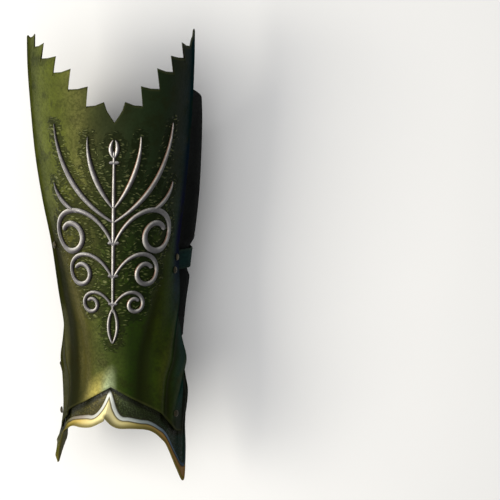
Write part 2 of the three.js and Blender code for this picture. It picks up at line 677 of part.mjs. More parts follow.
const material = (color, roughness, metalness) =>
  new THREE.MeshStandardMaterial({ color, roughness, metalness });
const greenLeather = material(0x4a5a26, 0.5, 0);
const plateLeather = material(0x8c8446, 0.5, 0.1);
const blackLeather = material(0x101312, 0.6, 0);
const strapLeather = material(0x1c3a34, 0.6, 0);
const silver = material(0xa8a59c, 0.4, 0.8);
const brass = material(0x7a6a3a, 0.4, 0.8);

const greave = new THREE.Group();
function add(name, geometry, finish) {
  geometry.computeVertexNormals();
  const mesh = new THREE.Mesh(geometry, finish);
  mesh.name = name;
  greave.add(mesh);
}

const through = (start) => RIVETS.filter(({ name }) => name.startsWith(start));

add("shin_shell", drilled(shinShell(), RIVETS), greenLeather);
add("ankle_plate", drilled(anklePlate(), through("plate")), plateLeather);
add("calf_panel", drilled(calfPanel(), through("strap")), blackLeather);
add("strap", drilled(longStrap(), through("strap_rivet_right")), strapLeather);
add("buckle_strap", drilled(strapPiece(OVERLAP_FROM, STRAP_LEFT, 14), through("strap_rivet_left")), strapLeather);
add("buckle", buckle(), brass);
add("scroll_ornament", scrollOrnament(), silver);
for (const row of RIVETS) add(row.name, rivet(row), brass);

// The origin is on the surface, under the middle of the greave.
const box = new THREE.Box3().setFromObject(greave);
const middle = box.getCenter(new THREE.Vector3());
for (const piece of greave.children) piece.geometry.translate(-middle.x, -middle.y, -box.min.z);

export default greave;
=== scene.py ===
"""A leather greave lying on its back, as an add-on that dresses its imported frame.

X runs across the leg, Y up the leg from the ankle to the knee, and Z up from the surface that the greave lies
on. The tables are in millimetres and degrees: a height is up the leg from the ankle, a turn is around the leg
from the middle of the front, positive to the right, and "out" is outward from the leg form, which is the
shell's outside.
"""

import math

import bpy
import numpy as np
from bpy.types import Operator
from mathutils import Matrix


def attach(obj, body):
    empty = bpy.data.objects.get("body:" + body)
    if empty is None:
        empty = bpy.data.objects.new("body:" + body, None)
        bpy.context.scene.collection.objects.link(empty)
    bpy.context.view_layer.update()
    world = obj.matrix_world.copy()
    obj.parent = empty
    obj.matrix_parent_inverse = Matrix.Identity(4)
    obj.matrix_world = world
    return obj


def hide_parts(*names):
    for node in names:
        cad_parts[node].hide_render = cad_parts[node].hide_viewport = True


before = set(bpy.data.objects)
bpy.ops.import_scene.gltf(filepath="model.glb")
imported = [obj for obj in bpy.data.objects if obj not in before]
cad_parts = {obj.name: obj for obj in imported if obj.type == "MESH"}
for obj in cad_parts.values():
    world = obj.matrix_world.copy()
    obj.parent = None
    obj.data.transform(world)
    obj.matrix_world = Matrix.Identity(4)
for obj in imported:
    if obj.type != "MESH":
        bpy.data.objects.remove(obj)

bl_info = {
    "name": "Leather greave",
    "version": (1, 0, 0),
    "blender": (4, 5, 0),
    "location": "View3D > Sidebar > Greave",
    "description": "Builds the leather, metal and stage of a greave over its frame",
    "category": "Object",
}

MM = 0.001
LENGTH = 400
# The origin stands under the middle of the greave's box.
MIDDLE = np.array([2.9459, -2.5039, 0.0])
GAP = 0.4
SHELL_WALL = 2.4
PLATE_WALL = 2.4
PANEL_WALL = 2
STRAP_WALL = 2


def table(names, rows):
    """The columns of a table by their names."""
    return dict(zip(names.split(), np.array(rows, float).T))


LEG = table("height centre half front mid back twist", [
    (0, 4.5, 58.5, 118, 55, 4, -9),
    (25, 5.5, 57.5, 118, 56, 6, -9),
    (50, 8, 55, 118, 57, 8, -8.6),
    (80, 9.5, 55.6, 119, 58, 9, -8.2),
    (95, 9.6, 55.8, 119.5, 58, 9, -8),
    (111, 9.4, 57.3, 120, 59, 8, -7.2),
    (130, 8.6, 54.8, 121, 59, 6, -6),
    (145, 8, 53.4, 122, 60, 4, -5),
    (170, 5.6, 54.4, 125, 62, 0, -2.4),
    (210, 2.6, 57.3, 129, 64, -4, 1.2),
    (250, 1, 63.4, 132, 66, -6, 3.4),
    (290, 0, 68.3, 136, 67, -5, 4.9),
    (330, -0.2, 71.6, 138, 67, -2, 5.7),
    (370, -0.3, 73.8, 140, 68, 4, 6),
    (405, 0, 74.2, 142, 68, 8, 6),
])
CALF = table("height left right", [
    (110, 50, 51),
    (145, 49.6, 55),
    (178, 50.6, 62.5),
    (210, 53.6, 69),
    (250, 59.4, 75.8),
    (290, 64.4, 79.6),
    (330, 67.8, 80.8),
    (365, 70, 79),
])
SHELL_LEFT = -86
SHELL_LEFT_ANKLE = -76
SHELL_RIGHT = 79

# Teeth of the knee opening: the turn and height of each sharp tip, and of the corner where its nearly level
# edge ends. Each side has its own last tooth, and ends at a height.
TEETH = [
    (7.2, 341, 19.4, 337),
    (18.1, 354.1, 32.5, 351),
    (30.1, 368.9, 45.2, 364.6),
    (41.8, 379, 58, 376),
    (53.7, 389.8, 66.4, 385.8),
]
LAST_TOOTH = {"left": (65.7, 397, 74, 393.6), "right": (69, 391, 74, 394)}
KNEE_END = {"left": 395, "right": LENGTH}
# Points between two teeth: the share of the way across to the next tip, up to it, and along its root.
TOOTH_STEPS = ((0.06, 0.14, 0.45), (0.4, 0.5, 0.8))
NOTCH_HEIGHT = 323.5
# The notch's side: turn, rise above its lowest point, and the turn at its root.
NOTCH = ((0, 0, 0), (2.6, 4.6, 3), (5.4, 10.4, 6.2))
NOTCH_ROOT = 6.6
TOOTH_LEAN = 2.6
TOOTH_ZONE = 13
MOST_BEVEL = 1.2
LOWER_EDGE = table("turn height", [
    (0, 93.2), (10, 87.2), (20, 81.2), (30, 75.6), (40, 70), (50, 62.5), (60, 52), (70, 45.5), (90, 42)
])
FLUTES = table("height valley crest groove ridge", [
    (40, 26, 45, 52, 57),
    (65, 26.5, 44, 51.5, 59),
    (90, 27.5, 45, 55, 70),
    (116, 28.5, 51, 63, 84),
    (140, 35, 63, 74, 98),
    (165, 42, 76, 88, 110),
    (210, 51, 88, 100, 120),
    (260, 58, 96, 110, 130),
])
# How far each flute stands out, and its width in degrees.
FLUTE_SIZE = {"crest": (1.8, 6.5), "valley": (-2.2, 6.5), "ridge": (1.6, 6.5), "groove": (-1.6, 4.55)}
FLUTE_SLACK = 2.4
FLUTE_START = 265
FLUTE_FULL = 105
LIP_OUT = 5
LIP_REACH = 42

# Ankle plate on each side of the cusp, by the angle away from it.
PLATE_LEFT = table("away rim rib top flare", [
    (0, 65.5, 87, 106, 20),
    (5, 61.6, 73, 105, 19),
    (10, 58.6, 66.4, 104, 17.5),
    (18, 56.8, 64.6, 102, 14),
    (29, 55.6, 62, 99, 9),
    (38, 52.6, 59.4, 95, 5.5),
    (43, 49.8, 57, 92, 4.4),
    (48, 47.4, 55, 91, 3.6),
    (52, 44.6, 53, 90.5, 3),
    (54.5, 40, 49.5, 90.5, 2.6),
    (56.8, 26, 41, 90, 2),
    (59, 15.5, 29, 89, 1.2),
    (63, 15.5, 27.5, 88, 0.8),
    (69, 16.5, 28.5, 88, 1),
    (80, 17, 28, 99, 1.6),
    (92, 25, 36, 101, 1.6),
    (98, 37, 48, 100, 1.2),
    (105, 50, 60, 97, 0.6),
    (112, 58, 68, 92, 0),
])
PLATE_RIGHT = table("away rim rib top flare", [
    (0, 68, 88, 106, 20),
    (5, 61.6, 74, 105, 19.5),
    (10, 58.8, 66.4, 104, 18.5),
    (17, 58, 64.4, 102, 16.5),
    (26, 56.4, 61.6, 99, 14),
    (33, 53.8, 59.6, 96, 11),
    (40, 49.2, 56, 93, 8),
    (47, 43.2, 51.4, 90, 5.6),
    (53, 37.6, 47.4, 88, 4),
    (60, 28.4, 40, 87, 2),
    (69.5, 14.4, 26.5, 86, 0.4),
    (77, 5, 17.5, 89, -0.4),
    (83, -1.5, 11.5, 93.5, -0.7),
    (88, -5, 9, 96, -0.7),
    (93, -3, 10, 98, -0.7),
    (99, 9, 21, 98.5, -0.5),
    (106, 27, 38, 97, 0),
    (114, 52, 62, 92, 0),
])
CUSP_TURN = -1.5
PLATE_GAP = 1.3
WING = table("height left right", [
    (0, 2, -0.7),
    (30, 1.8, -1),
    (45, 0.8, -0.4),
    (62, 0, 1),
    (76, -0.6, 1),
    (88, 1.6, -1.2),
    (102, 3.6, -3.4),
])
RIM_BAND = 0.8
RIM_WALL = 1.1

PANEL_RIGHT = 64
PANEL_LEFT = 298
PANEL_BOTTOM = 128
PANEL_TOP_SIDE = 352
PANEL_TOP_BACK = 300
STRAP_RIGHT = 61
STRAP_LEFT = 299
STRAP_LOW = 195
STRAP_HIGH = 214
WAIST_FLAT = 9.6
WAIST_REACH = 18
OVERLAP_FROM = 240
OVERLAP_TO = 266
# The calf's radius, for the pattern along the straps.
CALF_ROUND = 66

# Scrollwork strokes: where each starts across and up the shell, its heading and how far that turns along its
# length, how much of the turning comes late, its length, and its width at the start, in the middle and at
# the end. The stem and its collars are in the middle, and each branch has a mirror image.
STROKE = "across height heading bend tight length start swell end"
STEM = [
    (0, 158, 90, 0, 0, 142, 2.2, 1.2, 2.2),
    (-4.5, 166, 0, 0, 0, 9, 2.4, 1.2, 2.4),
    (-5, 191, 0, 0, 0, 10, 2.6, 1.2, 2.6),
    (-5.5, 220, 0, 0, 0, 11, 2.8, 1.2, 2.8),
    (-4.5, 290, 0, 0, 0, 9, 2.4, 1.2, 2.4),
]
BRANCHES = [
    (0, 162, 241, 58, 0, 33, 1.8, 1.4, 1.6),
    (0, 163, 60, -480, 0.86, 74, 1.8, 1, 3.2),
    (0, 188, 64, -490, 0.84, 116, 2.2, 1.2, 3.8),
    (0, 217, 68, -500, 0.82, 160, 2.4, 1.6, 4.6),
    (0, 238, 30, 54, 0.1, 106, 2, 3.4, 0.7),
    (0, 250, 50, 42, 0.2, 68, 1.8, 3.2, 0.7),
    (33, 246, 18, 58, 0.3, 38, 1.6, 3, 0.7),
    (0, 294, 56, 70, 0.3, 17, 1.8, 2.6, 0.8),
]

# Rivets: turn, height, how far the head is seated above the shell, and the node each replaces.
RIVETS = [
    (67.3, 190.5, 0.8, "strap_rivet_right_low"),
    (71, 201.5, 0.8, "strap_rivet_right_high"),
    (-65.5, 213.5, 0.8, "strap_rivet_left"),
    (63.5, 62, 1.3, "plate_rivet_right"),
    (-63.5, 62, 1.3, "plate_rivet_left"),
]
BUCKLE = dict(turn=252, length=17, width=22, lift=1.6, wire=1.25)

# Steps of the grids: the shell's between two points of the knee edge, up its body and up its teeth, and the
# others' across and up. Sides and samples of what is round.
SHELL_STEPS = (5, 142, 14)
PLATE_STEPS = (360, 100)
PANEL_STEPS = (260, 110)
STRAP_STEPS = 14
ROUND_SIDES = 14
RIVET_STEPS = (24, 28)
BUCKLE_STEPS = (96, 23)


# The leg form.


def curve(rows, at, value):
    """A smooth curve through two columns of a table: a cubic between rows, with their neighbours' slope."""
    x, y = rows[at], rows[value]
    ahead = np.minimum(np.arange(len(x)) + 1, len(x) - 1)
    behind = np.maximum(np.arange(len(x)) - 1, 0)
    slope = (y[ahead] - y[behind]) / (x[ahead] - x[behind])

    def read(t):
        t = np.asarray(t, float)
        i = np.clip(np.searchsorted(x, t, side="right") - 1, 0, len(x) - 2)
        span = x[i + 1] - x[i]
        s = np.clip((t - x[i]) / span, 0, 1)
        ends = y[i] * (2 * s**3 - 3 * s**2 + 1) + y[i + 1] * (3 * s**2 - 2 * s**3)
        return ends + span * (slope[i] * (s**3 - 2 * s**2 + s) + slope[i + 1] * (s**3 - s**2))

    return read


def curves(rows, at):
    """All the columns of a table but the one it is read by, as smooth curves."""
    return {name: curve(rows, at, name) for name in rows if name != at}


def lerp(a, b, t):
    """The value a share of the way from one to another."""
    return a + (b - a) * t


def smooth(x, low, high):
    """A smooth step from 0 at the low end to 1 at the high end."""
    t = np.clip((x - low) / (high - low), 0, 1)
    return t * t * (3 - 2 * t)


def bump(distance, width):
    """A bell curve: 1 at no distance, falling smoothly over a width on both sides."""
    return np.exp(-((distance / width) ** 2))


leg = curves(LEG, "height")
calf = curves(CALF, "height")
flutes = curves(FLUTES, "height")
wing = curves(WING, "height")
plate_left = curves(PLATE_LEFT, "away")
plate_right = curves(PLATE_RIGHT, "away")
lower_edge = curve(LOWER_EDGE, "turn", "height")


def section_point(turn, height, out, half):
    """Points `out` outside an egg-shaped section of the leg: an ellipse deeper in front than behind, moved
    out along its normal and turned about the leg. Metres, in the row's frame."""
    turn, height, out, half = np.broadcast_arrays(*(np.asarray(v, float) for v in (turn, height, out, half)))
    angle = np.radians(turn)
    twist = np.radians(leg["twist"](height))
    mid = leg["mid"](height)
    deep = np.where(np.cos(angle) >= 0, leg["front"](height) - mid, mid - leg["back"](height))
    normal_x = deep * np.sin(angle)
    normal_z = half * np.cos(angle)
    size = np.hypot(normal_x, normal_z)
    across = half * np.sin(angle) + out * normal_x / size
    up = deep * np.cos(angle) + out * normal_z / size
    x = leg["centre"](height) + across * np.cos(twist) + up * np.sin(twist)
    z = mid + up * np.cos(twist) - across * np.sin(twist)
    return (np.stack([x, height - LENGTH / 2, z], axis=-1) - MIDDLE) * MM


def relief(turn, height):
    """How far the leather is raised or sunk: a bump along each flute's own line, fading up the leg, and the
    lip, which turns out as the square of the nearness to the shell's lower edge."""
    side = np.abs(turn)
    strength = 1 - smooth(height, FLUTE_FULL, FLUTE_START)
    flute = sum(deep * bump(side - flutes[name](height), wide) for name, (deep, wide) in FLUTE_SIZE.items())
    near = np.clip(1 - (height - lower_edge(side)) / LIP_REACH, 0, 1)
    return strength * flute + LIP_OUT * near**2 * np.cos(np.radians(np.minimum(side, 90)))


def shell_rear_left(height):
    return -lerp(SHELL_LEFT_ANKLE, SHELL_LEFT, smooth(height, 95, 200))


def leg_point(turn, height, out=0.0):
    """Points on the shell's outside, or `out` away from it."""
    return section_point(turn, height, relief(turn, height) + out, leg["half"](height))


def radius(height):
    return (leg["half"](height) + leg["front"](height) - leg["mid"](height)) / 2


def strap_height(turn):
    return lerp(STRAP_LOW, STRAP_HIGH, (turn - STRAP_RIGHT) / (STRAP_LEFT - STRAP_RIGHT))


def calf_point(turn, height, out, floor=0.0):
    """Points on the calf form: the shell's inside near its rear edges, swelling to the calf behind them, and
    never below the surface that the greave lies on."""
    right = turn < 180
    past = np.where(right, turn - SHELL_RIGHT, 360 - shell_rear_left(height) - turn)
    free = smooth(past, 1, 16)
    half = lerp(leg["half"](height), np.where(right, calf["right"](height), calf["left"](height)), free)
    slack = FLUTE_SLACK * (1 - smooth(height, 150, 215))
    tuck = lerp(-(SHELL_WALL + GAP + slack), 0, free)
    ripple = relief(np.where(right, turn, 360 - turn), height) * (1 - smooth(past, -1, 12))
    point = section_point(turn, height, tuck + ripple + out, half)
    point[..., 2] = np.maximum(point[..., 2], floor * MM)
    return point


def waist(turn, height):
    """How far the strap draws the panel in under it."""
    away = np.abs(height - strap_height(turn))
    return (STRAP_WALL + 3 * GAP) * (1 - smooth(away, WAIST_FLAT, WAIST_REACH))


# Meshes.


def placed(name, data):
    """A new object of the scene, at the origin, from its data."""
    obj = bpy.data.objects.new(name, data)
    bpy.context.scene.collection.objects.link(obj)
    return obj


def piece(name, shape, node, material_name):
    """An object from a shape's points, quads and attributes, that replaces its node."""
    points, faces, attributes = shape
    mesh = bpy.data.meshes.new(name)
    mesh.from_pydata(points.tolist(), [], faces.tolist())
    mesh.shade_smooth()
    for key, values in attributes.items():
        kind, slot = ("FLOAT_VECTOR", "vector") if values.ndim == 2 else ("FLOAT", "value")
        layer = mesh.attributes.new(key, kind, "POINT")
        layer.data.foreach_set(slot, np.ascontiguousarray(values, np.float32).ravel())
    mesh.validate()
    mesh.materials.append(bpy.data.materials[material_name])
    obj = placed(name, mesh)
    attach(obj, "root")
    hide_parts(node)


def unit(vectors):
    return vectors / (np.linalg.norm(vectors, axis=-1, keepdims=True) + 1e-12)


def kept(points, faces, attributes):
    """The points that faces use, with the faces and attributes renumbered to them."""
    used, renumbered = np.unique(faces, return_inverse=True)
    return points[used], renumbered.reshape(faces.shape), {k: v[used] for k, v in attributes.items()}


def grid_faces(index):
    """Quads of a grid of point numbers, facing out where its columns run right and its rows run up."""
    corners = index[:-1, :-1], index[1:, :-1], index[1:, 1:], index[:-1, 1:]
    return np.stack([c.ravel() for c in corners], axis=-1)


def circle(count):
    """Angles all the way round, evenly apart."""
    return np.linspace(0, 2 * np.pi, count, endpoint=False)


def rings(points, closed=False):
    """Points and quads of rings, each joined to the next and, where closed, the last to the first."""
    count, sides = points.shape[:2]
    index = np.arange(count * sides).reshape(count, sides)
    index = np.concatenate([index, index[:, :1]], axis=1)
    if closed:
        index = np.concatenate([index, index[:1]])
    return points.reshape(-1, 3), grid_faces(index)[:, ::-1]


def sheet(outside, inside, attributes):
    """A closed sheet between two grids of points, columns first. Past each border the two sides draw together
    on a half circle, so every edge of the leather is round."""
    middle, half = (outside + inside) / 2, (outside - inside) / 2
    turns = np.radians([90, 62, 34])
    for _ in range(2):
        ends = []
        for edge, inner in ((0, 1), (-1, -2)):
            away = unit(middle[edge] - middle[inner])
            reach = np.linalg.norm(half[edge], axis=-1, keepdims=True)
            rows = [middle[edge] + away * reach * math.sin(t) for t in turns]
            halves = [half[edge] * (0 if i == 0 else math.cos(t)) for i, t in enumerate(turns)]
            ends.append((np.array(rows), np.array(halves)))
        (m0, h0), (m1, h1) = ends
        middle = np.concatenate([m0, middle, m1[::-1]]).swapaxes(0, 1)
        half = np.concatenate([h0, half, h1[::-1]]).swapaxes(0, 1)
    columns, rows = middle.shape[:2]
    front = np.arange(columns * rows).reshape(columns, rows)
    back = front + columns * rows
    border = np.ones_like(front, bool)
    border[1:-1, 1:-1] = False
    back[border] = front[border]
    points = np.concatenate([(middle + half).reshape(-1, 3), (middle - half).reshape(-1, 3)])
    faces = np.concatenate([grid_faces(front), grid_faces(back)[:, ::-1]])
    padded = {}
    for key, values in attributes.items():
        extra = ((3, 3), (3, 3)) + ((0, 0),) * (values.ndim - 2)
        flat = np.pad(values, extra, mode="edge").reshape(columns * rows, *values.shape[2:])
        padded[key] = np.concatenate([flat, flat])
    padded["inside"] = np.repeat([0.0, 1.0], columns * rows)
    return kept(points, faces, padded)


def joined(parts):
    """Several meshes of points and quads as one."""
    points, faces = zip(*parts)
    starts = np.cumsum([0] + [len(part) for part in points])
    return np.concatenate(points), np.concatenate([part + start for part, start in zip(faces, starts)])


def nearest(places, targets, sizes=0.0):
    """Distance from each place to the nearest of the targets, which are circles of the given sizes."""
    flat = places.reshape(-1, places.shape[-1])
    blocks = np.array_split(flat, len(flat) * len(targets) // 20_000_000 + 1)
    found = [(np.sqrt(((b[:, None] - targets[None]) ** 2).sum(-1)) - sizes).min(1) for b in blocks]
    return np.concatenate(found).reshape(places.shape[:-1])


def standing(point, turn, height):
    """The foot, and the directions along a turn, up the leg and outward, at a place on a surface."""
    foot = point(turn, height, 0.0)
    normal = unit(point(turn, height, 10.0) - foot)
    up = unit(np.cross(normal, point(turn + 1, height, 0.0) - foot))
    return foot, np.cross(up, normal), up, normal


def flat_place(turn, height):
    """Places on the leather as flat millimetres across and up."""
    turn, height = np.broadcast_arrays(turn, height)
    return np.stack([np.radians(turn) * radius(height), height], axis=-1)


def looks(place, **others):
    """What a leather's material reads: its flat place, as a vector, and other values of each point."""
    return dict(place=np.pad(place, ((0, 0), (0, 0), (0, 1))), **others)


def turn_share(turn):
    """A turn as a share: 0 at the left side of the leg, a half in front and 1 at the right."""
    return 0.5 + turn / 180


# Pieces.


def teeth(side, rear_turn):
    """Points of the knee edge on one side, from the middle out: turn, height, and turn at the root."""
    points = [(turn, NOTCH_HEIGHT + rise, root) for turn, rise, root in NOTCH]
    inner = NOTCH_ROOT
    for tip, tip_height, corner, corner_height in [*TEETH, LAST_TOOTH[side]]:
        root = inner + TOOTH_LEAN
        turn, height, _ = points[-1]
        if turn > tip:
            for across, up, foot in TOOTH_STEPS:
                rise = lerp(height, tip_height, up)
                points.append((lerp(turn, tip, across), rise, lerp(inner, root, foot)))
        points.append((tip, tip_height, root))
        middle = lerp(tip_height, corner_height, 0.78)
        points.append(((tip + corner) / 2, middle, lerp(root, corner, 0.45)))
        points.append((corner, corner_height, corner))
        inner = corner
    return [*points, (rear_turn, KNEE_END[side], rear_turn)]


def shell_grid():
    """Turns and heights of the shell's grid, and how far each point is up its tooth. The columns run from the
    lower edge to a base under the teeth, and from there to the points of the knee edge."""
    per_step, body_rows, tooth_rows = SHELL_STEPS
    left = [(-t, h, -r) for t, h, r in teeth("left", -SHELL_LEFT)[:0:-1]]
    edge = np.array(left + teeth("right", SHELL_RIGHT), float)
    steps = len(edge) - 1
    at = np.linspace(0, steps, steps * per_step + 1)
    tip_turn, tip_height, root = (np.interp(at, np.arange(steps + 1), edge[:, i])[:, None] for i in range(3))
    even = lerp(SHELL_LEFT, SHELL_RIGHT, at / steps)[:, None]
    corners = [(corner, height - TOOTH_ZONE) for _, _, corner, height in TEETH]
    zone_rows = [(0, NOTCH_HEIGHT - TOOTH_ZONE), *corners, (90, LENGTH - TOOTH_ZONE - 10)]
    base = curve(table("turn height", zone_rows), "turn", "height")(np.abs(root))
    share = np.linspace(0, 1, body_rows + 1)[None]
    height = lerp(lower_edge(np.abs(even)), base, share)
    drawn_in = np.where(even < 0, even * shell_rear_left(height) / -SHELL_LEFT, even)
    turn = lerp(drawn_in, root, smooth(share, 0.35, 1))
    height = lerp(lower_edge(np.abs(turn)), base, share)
    rise = np.linspace(0, 1, tooth_rows + 1)[None, 1:]
    turn = np.concatenate([turn, lerp(root, tip_turn, rise)], axis=1)
    height = np.concatenate([height, lerp(base, tip_height, rise)], axis=1)
    up_tooth = np.concatenate([np.zeros(body_rows + 1), rise[0]])[None]
    return turn, height, up_tooth


def strokes():
    """Each stroke of the scrollwork as samples along it: across, height, direction and width. The direction
    turns evenly or ever faster, the place is the sum of the steps, and the width swells as a sine between its
    ends and closes at both."""
    names = STROKE.split()
    made = []
    for i, row in enumerate(STEM + BRANCHES):
        row = dict(zip(names, row))
        count = int(max(row["length"] / 0.8, abs(row["bend"]) / 6, 12))
        s = np.linspace(0, 1, count + 1)
        angle = np.radians(row["heading"] + row["bend"] * lerp(s, s * s, row["tight"]))
        step = row["length"] / count
        between = (angle[1:] + angle[:-1]) / 2
        x = row["across"] + np.concatenate([[0], np.cumsum(np.cos(between))]) * step
        y = row["height"] + np.concatenate([[0], np.cumsum(np.sin(between))]) * step
        width = lerp(row["start"], row["end"], s) + row["swell"] * np.sin(np.pi * s)
        end = np.minimum(s, 1 - s) * row["length"]
        width = width * np.sqrt(np.clip(end / (width / 2), 0, 1))
        made.append((x, y, angle, width))
        if i >= len(STEM):
            made.append((-x[::-1], y[::-1], -angle[::-1], width[::-1]))
    return made


def shin_shell():
    """The moulded shell: the leg form with its flutes and lip, sunk a little beside each scroll. A shift of the
    turn, growing up each tooth, keeps its flanks upright."""
    turn, height, up_tooth = shell_grid()
    side = np.abs(turn)
    place = flat_place(turn, height)
    drawn = strokes()
    lines = np.concatenate([np.stack([x, y], axis=-1) for x, y, _, _ in drawn])
    from_stroke = np.maximum(nearest(place, lines, np.concatenate([width for *_, width in drawn]) / 2), 0)
    halo = bump(from_stroke, 6.5)
    border = np.concatenate([place[0, ::2], place[-1, ::2], place[:, 0], place[:, -1]])

    def surface(out):
        square = np.minimum(np.tan(np.radians(side)), MOST_BEVEL) * np.sign(turn)
        moved = turn - np.degrees(out * square / leg["half"](height)) * up_tooth
        return leg_point(moved, height, out - 0.35 * halo)

    above = height - lower_edge(side)
    low = 1 - smooth(height, 190, 260)
    valley = turn + flutes["valley"](height)
    attributes = looks(
        place,
        turn=turn_share(turn),
        height=height / LENGTH,
        halo=halo,
        seam=bump(from_stroke, 0.9),
        edge=nearest(place, border),
        # The relief also places the painted shade in the flutes' valleys and the painted highlights on their
        # crests.
        relief=relief(turn, height) - LIP_OUT * np.clip(1 - above / LIP_REACH, 0, 1) ** 2,
        # The nearness to the lower edge places the lip's painted highlights.
        lip=np.clip(1 - above / 20, 0, 1),
        shade=low * bump(valley + 11.5, 8),
        shine=low * bump(valley - 4, 7),
    )
    return sheet(surface(0.0), surface(-SHELL_WALL), attributes)


def plate_at(turn, name):
    """A column of the ankle plate's tables, by the angle away from its cusp."""
    away = np.abs(turn - CUSP_TURN)
    return np.where(turn < CUSP_TURN, plate_left[name](away), plate_right[name](away))


def plate_level(turn, height):
    """How far out the ankle plate stands: tucked under the shell, out as a wing behind the shell's rear edges
    and flaring to its rim below the shell's lower edge."""
    side = np.abs(turn)
    rear = np.where(turn < 0, shell_rear_left(height), SHELL_RIGHT)
    behind = smooth(side - rear, 1.5, 8)
    free = np.where(turn < 0, wing["left"](height), wing["right"](height))
    under = lerp(-(SHELL_WALL + PLATE_GAP), free, behind)
    edge = lower_edge(side) - 1
    fall = np.clip((edge - height) / np.maximum(edge - plate_at(turn, "rim"), 6), 0, 1)
    faded = relief(turn, height) * smooth(lower_edge(side) - height, 0, 16)
    return lerp(under, plate_at(turn, "flare"), fall**1.4) - faded


def ankle_plate(rib_height):
    """The ankle plate, from its rim up to its top. It rises to a band within a little of the rim and to a rib
    along its own line, which comes to a point at the cusp, and its wall thins towards the rim."""
    across, up = PLATE_STEPS
    share = np.linspace(-1, 1, across + 1)[:, None]
    reach = np.where(share < 0, PLATE_LEFT["away"][-1], PLATE_RIGHT["away"][-1])
    turn = CUSP_TURN + reach * np.sign(share) * lerp(share * share, np.abs(share), 0.45)
    rim, rib, top = (plate_at(turn, name) for name in ("rim", "rib", "top"))
    height = lerp(rim, top, np.linspace(0, 1, up + 1)[None])
    place = flat_place(turn, height)
    from_rib = nearest(place, flat_place(turn, rib)[:, 0])
    from_rim = nearest(place, flat_place(turn, rim)[:, 0])
    turn = np.broadcast_to(turn, height.shape)
    above_rib = np.where(height < rib, -from_rib, from_rib)
    gold = 1 - smooth(above_rib, -2.0, -1.4)
    level = plate_level(turn, height)
    band = RIM_BAND * gold * (1 - smooth(from_rim, 0, 3) * 0.4)
    raised = rib_height * (1 - smooth(from_rib, 0.6, 2.1)) + band
    attributes = looks(
        place,
        turn=turn_share(turn),
        gold=gold,
        silver=1 - smooth(from_rib, 0.9, 1.6),
        line=bump(above_rib + 1.8, 0.45) + 0.6 * bump(above_rib - 1.8, 0.4),
        edge=from_rim,
        # Painted shadow: the strip just below the shell's lower edge, and the part hidden under it.
        under=smooth(height - lower_edge(np.abs(turn)), -7.5, -4),
    )
    wall = lerp(RIM_WALL, PLATE_WALL, smooth(from_rim, 0, 9))
    return sheet(leg_point(turn, height, level + raised), leg_point(turn, height, level - wall), attributes)


def calf_panel():
    """The calf panel: the calf form from its lower edge up to one that dips behind, drawn in under the strap
    and flattened where it lies."""
    across, up = PANEL_STEPS
    turn = np.linspace(PANEL_RIGHT, PANEL_LEFT, across + 1)[:, None]
    back = (1 - np.cos(np.radians(turn))) / 2
    top = lerp(PANEL_TOP_SIDE, PANEL_TOP_BACK, smooth(back, 0.35, 0.97))
    height = lerp(PANEL_BOTTOM, top, np.linspace(0, 1, up + 1)[None])
    turn = np.broadcast_to(turn, height.shape)
    drawn = waist(turn, height)
    attributes = looks(flat_place(turn, height), edge=np.minimum(height - PANEL_BOTTOM, top - height))
    outside, inside = (calf_point(turn, height, -deep, deep) for deep in (drawn, drawn + PANEL_WALL))
    return sheet(outside, inside, attributes)


def strap_part(start, stop, width, lift):
    """A length of strap: the calf form between two turns, around a line that climbs evenly as it goes."""
    turn = np.linspace(start, stop, int(abs(stop - start) * 1.3) + 8)[:, None]
    across = np.linspace(-0.5, 0.5, STRAP_STEPS + 1)[None] * width
    height = strap_height(turn) + across
    turn, across = np.broadcast_arrays(turn, across)
    place = np.stack([np.radians(turn) * CALF_ROUND, across], axis=-1)
    deep = GAP - lift(turn)
    outside = calf_point(turn, height, -deep, GAP)
    inside = calf_point(turn, height, -deep - STRAP_WALL, GAP + STRAP_WALL)
    return sheet(outside, inside, looks(place, edge=width / 2 - np.abs(across)))


def over_lap(turn):
    """How far the long strap climbs on to the short one where they meet."""
    return (STRAP_WALL + 2 * GAP) * smooth(turn, OVERLAP_FROM - 12, OVERLAP_FROM - 2)


def scroll_ornament(stroke_rise):
    """The scrollwork: each stroke is a round ridge whose width follows the stroke and closes at its ends. Its
    section is half a flattened circle above the leather and a shallow one below."""
    across, over = np.cos(circle(ROUND_SIDES)), np.sin(circle(ROUND_SIDES))
    over = np.where(over > 0, np.abs(over) ** 0.8, over * 0.4)
    parts, sides, turns = [], [], []
    for x, y, direction, width in strokes():
        x, y, direction, width = (v[:, None] for v in (x, y, direction, width))
        reach = width / 2 * across
        flat_x = x - reach * np.sin(direction)
        flat_y = y + reach * np.cos(direction)
        turn = np.degrees(flat_x / radius(flat_y))
        out = stroke_rise * np.clip(width / 2.2, 0, 1) ** 0.6 * over
        points, faces = rings(leg_point(turn, flat_y, out))
        parts.append((points, faces[:, ::-1]))
        # How far each side of a stroke faces the key light, for its painted highlight and painted shade; the
        # turn places painted shade on the right of the shin.
        lit = np.sin(direction) * 0.85 + np.cos(direction) * 0.5
        sides.append((0.5 + 0.5 * lit * across).ravel())
        turns.append(turn_share(turn).ravel())
    return *joined(parts), dict(side=np.concatenate(sides), turn=np.concatenate(turns))


def rivet(turn, height, seat):
    """A rivet's head: a dome over a thin rim, turned about the surface's normal."""
    foot, along, up, normal = standing(leg_point, turn, height)
    steps, sides = RIVET_STEPS
    profile = np.array([(0, -0.4), (2.9, -0.4), (3.1, 0.05), (2.95, 0.4), (2.3, 0.95), (1.4, 1.3), (0, 1.45)])
    fine = np.linspace(0, len(profile) - 1, steps + 1)
    size, rise = (np.interp(fine, np.arange(len(profile)), column)[:, None, None] for column in profile.T)
    angles = circle(sides)[None, :, None]
    ring = np.cos(angles) * along + np.sin(angles) * up
    return *rings(foot + (size * ring + (rise + seat) * normal) * MM), {}


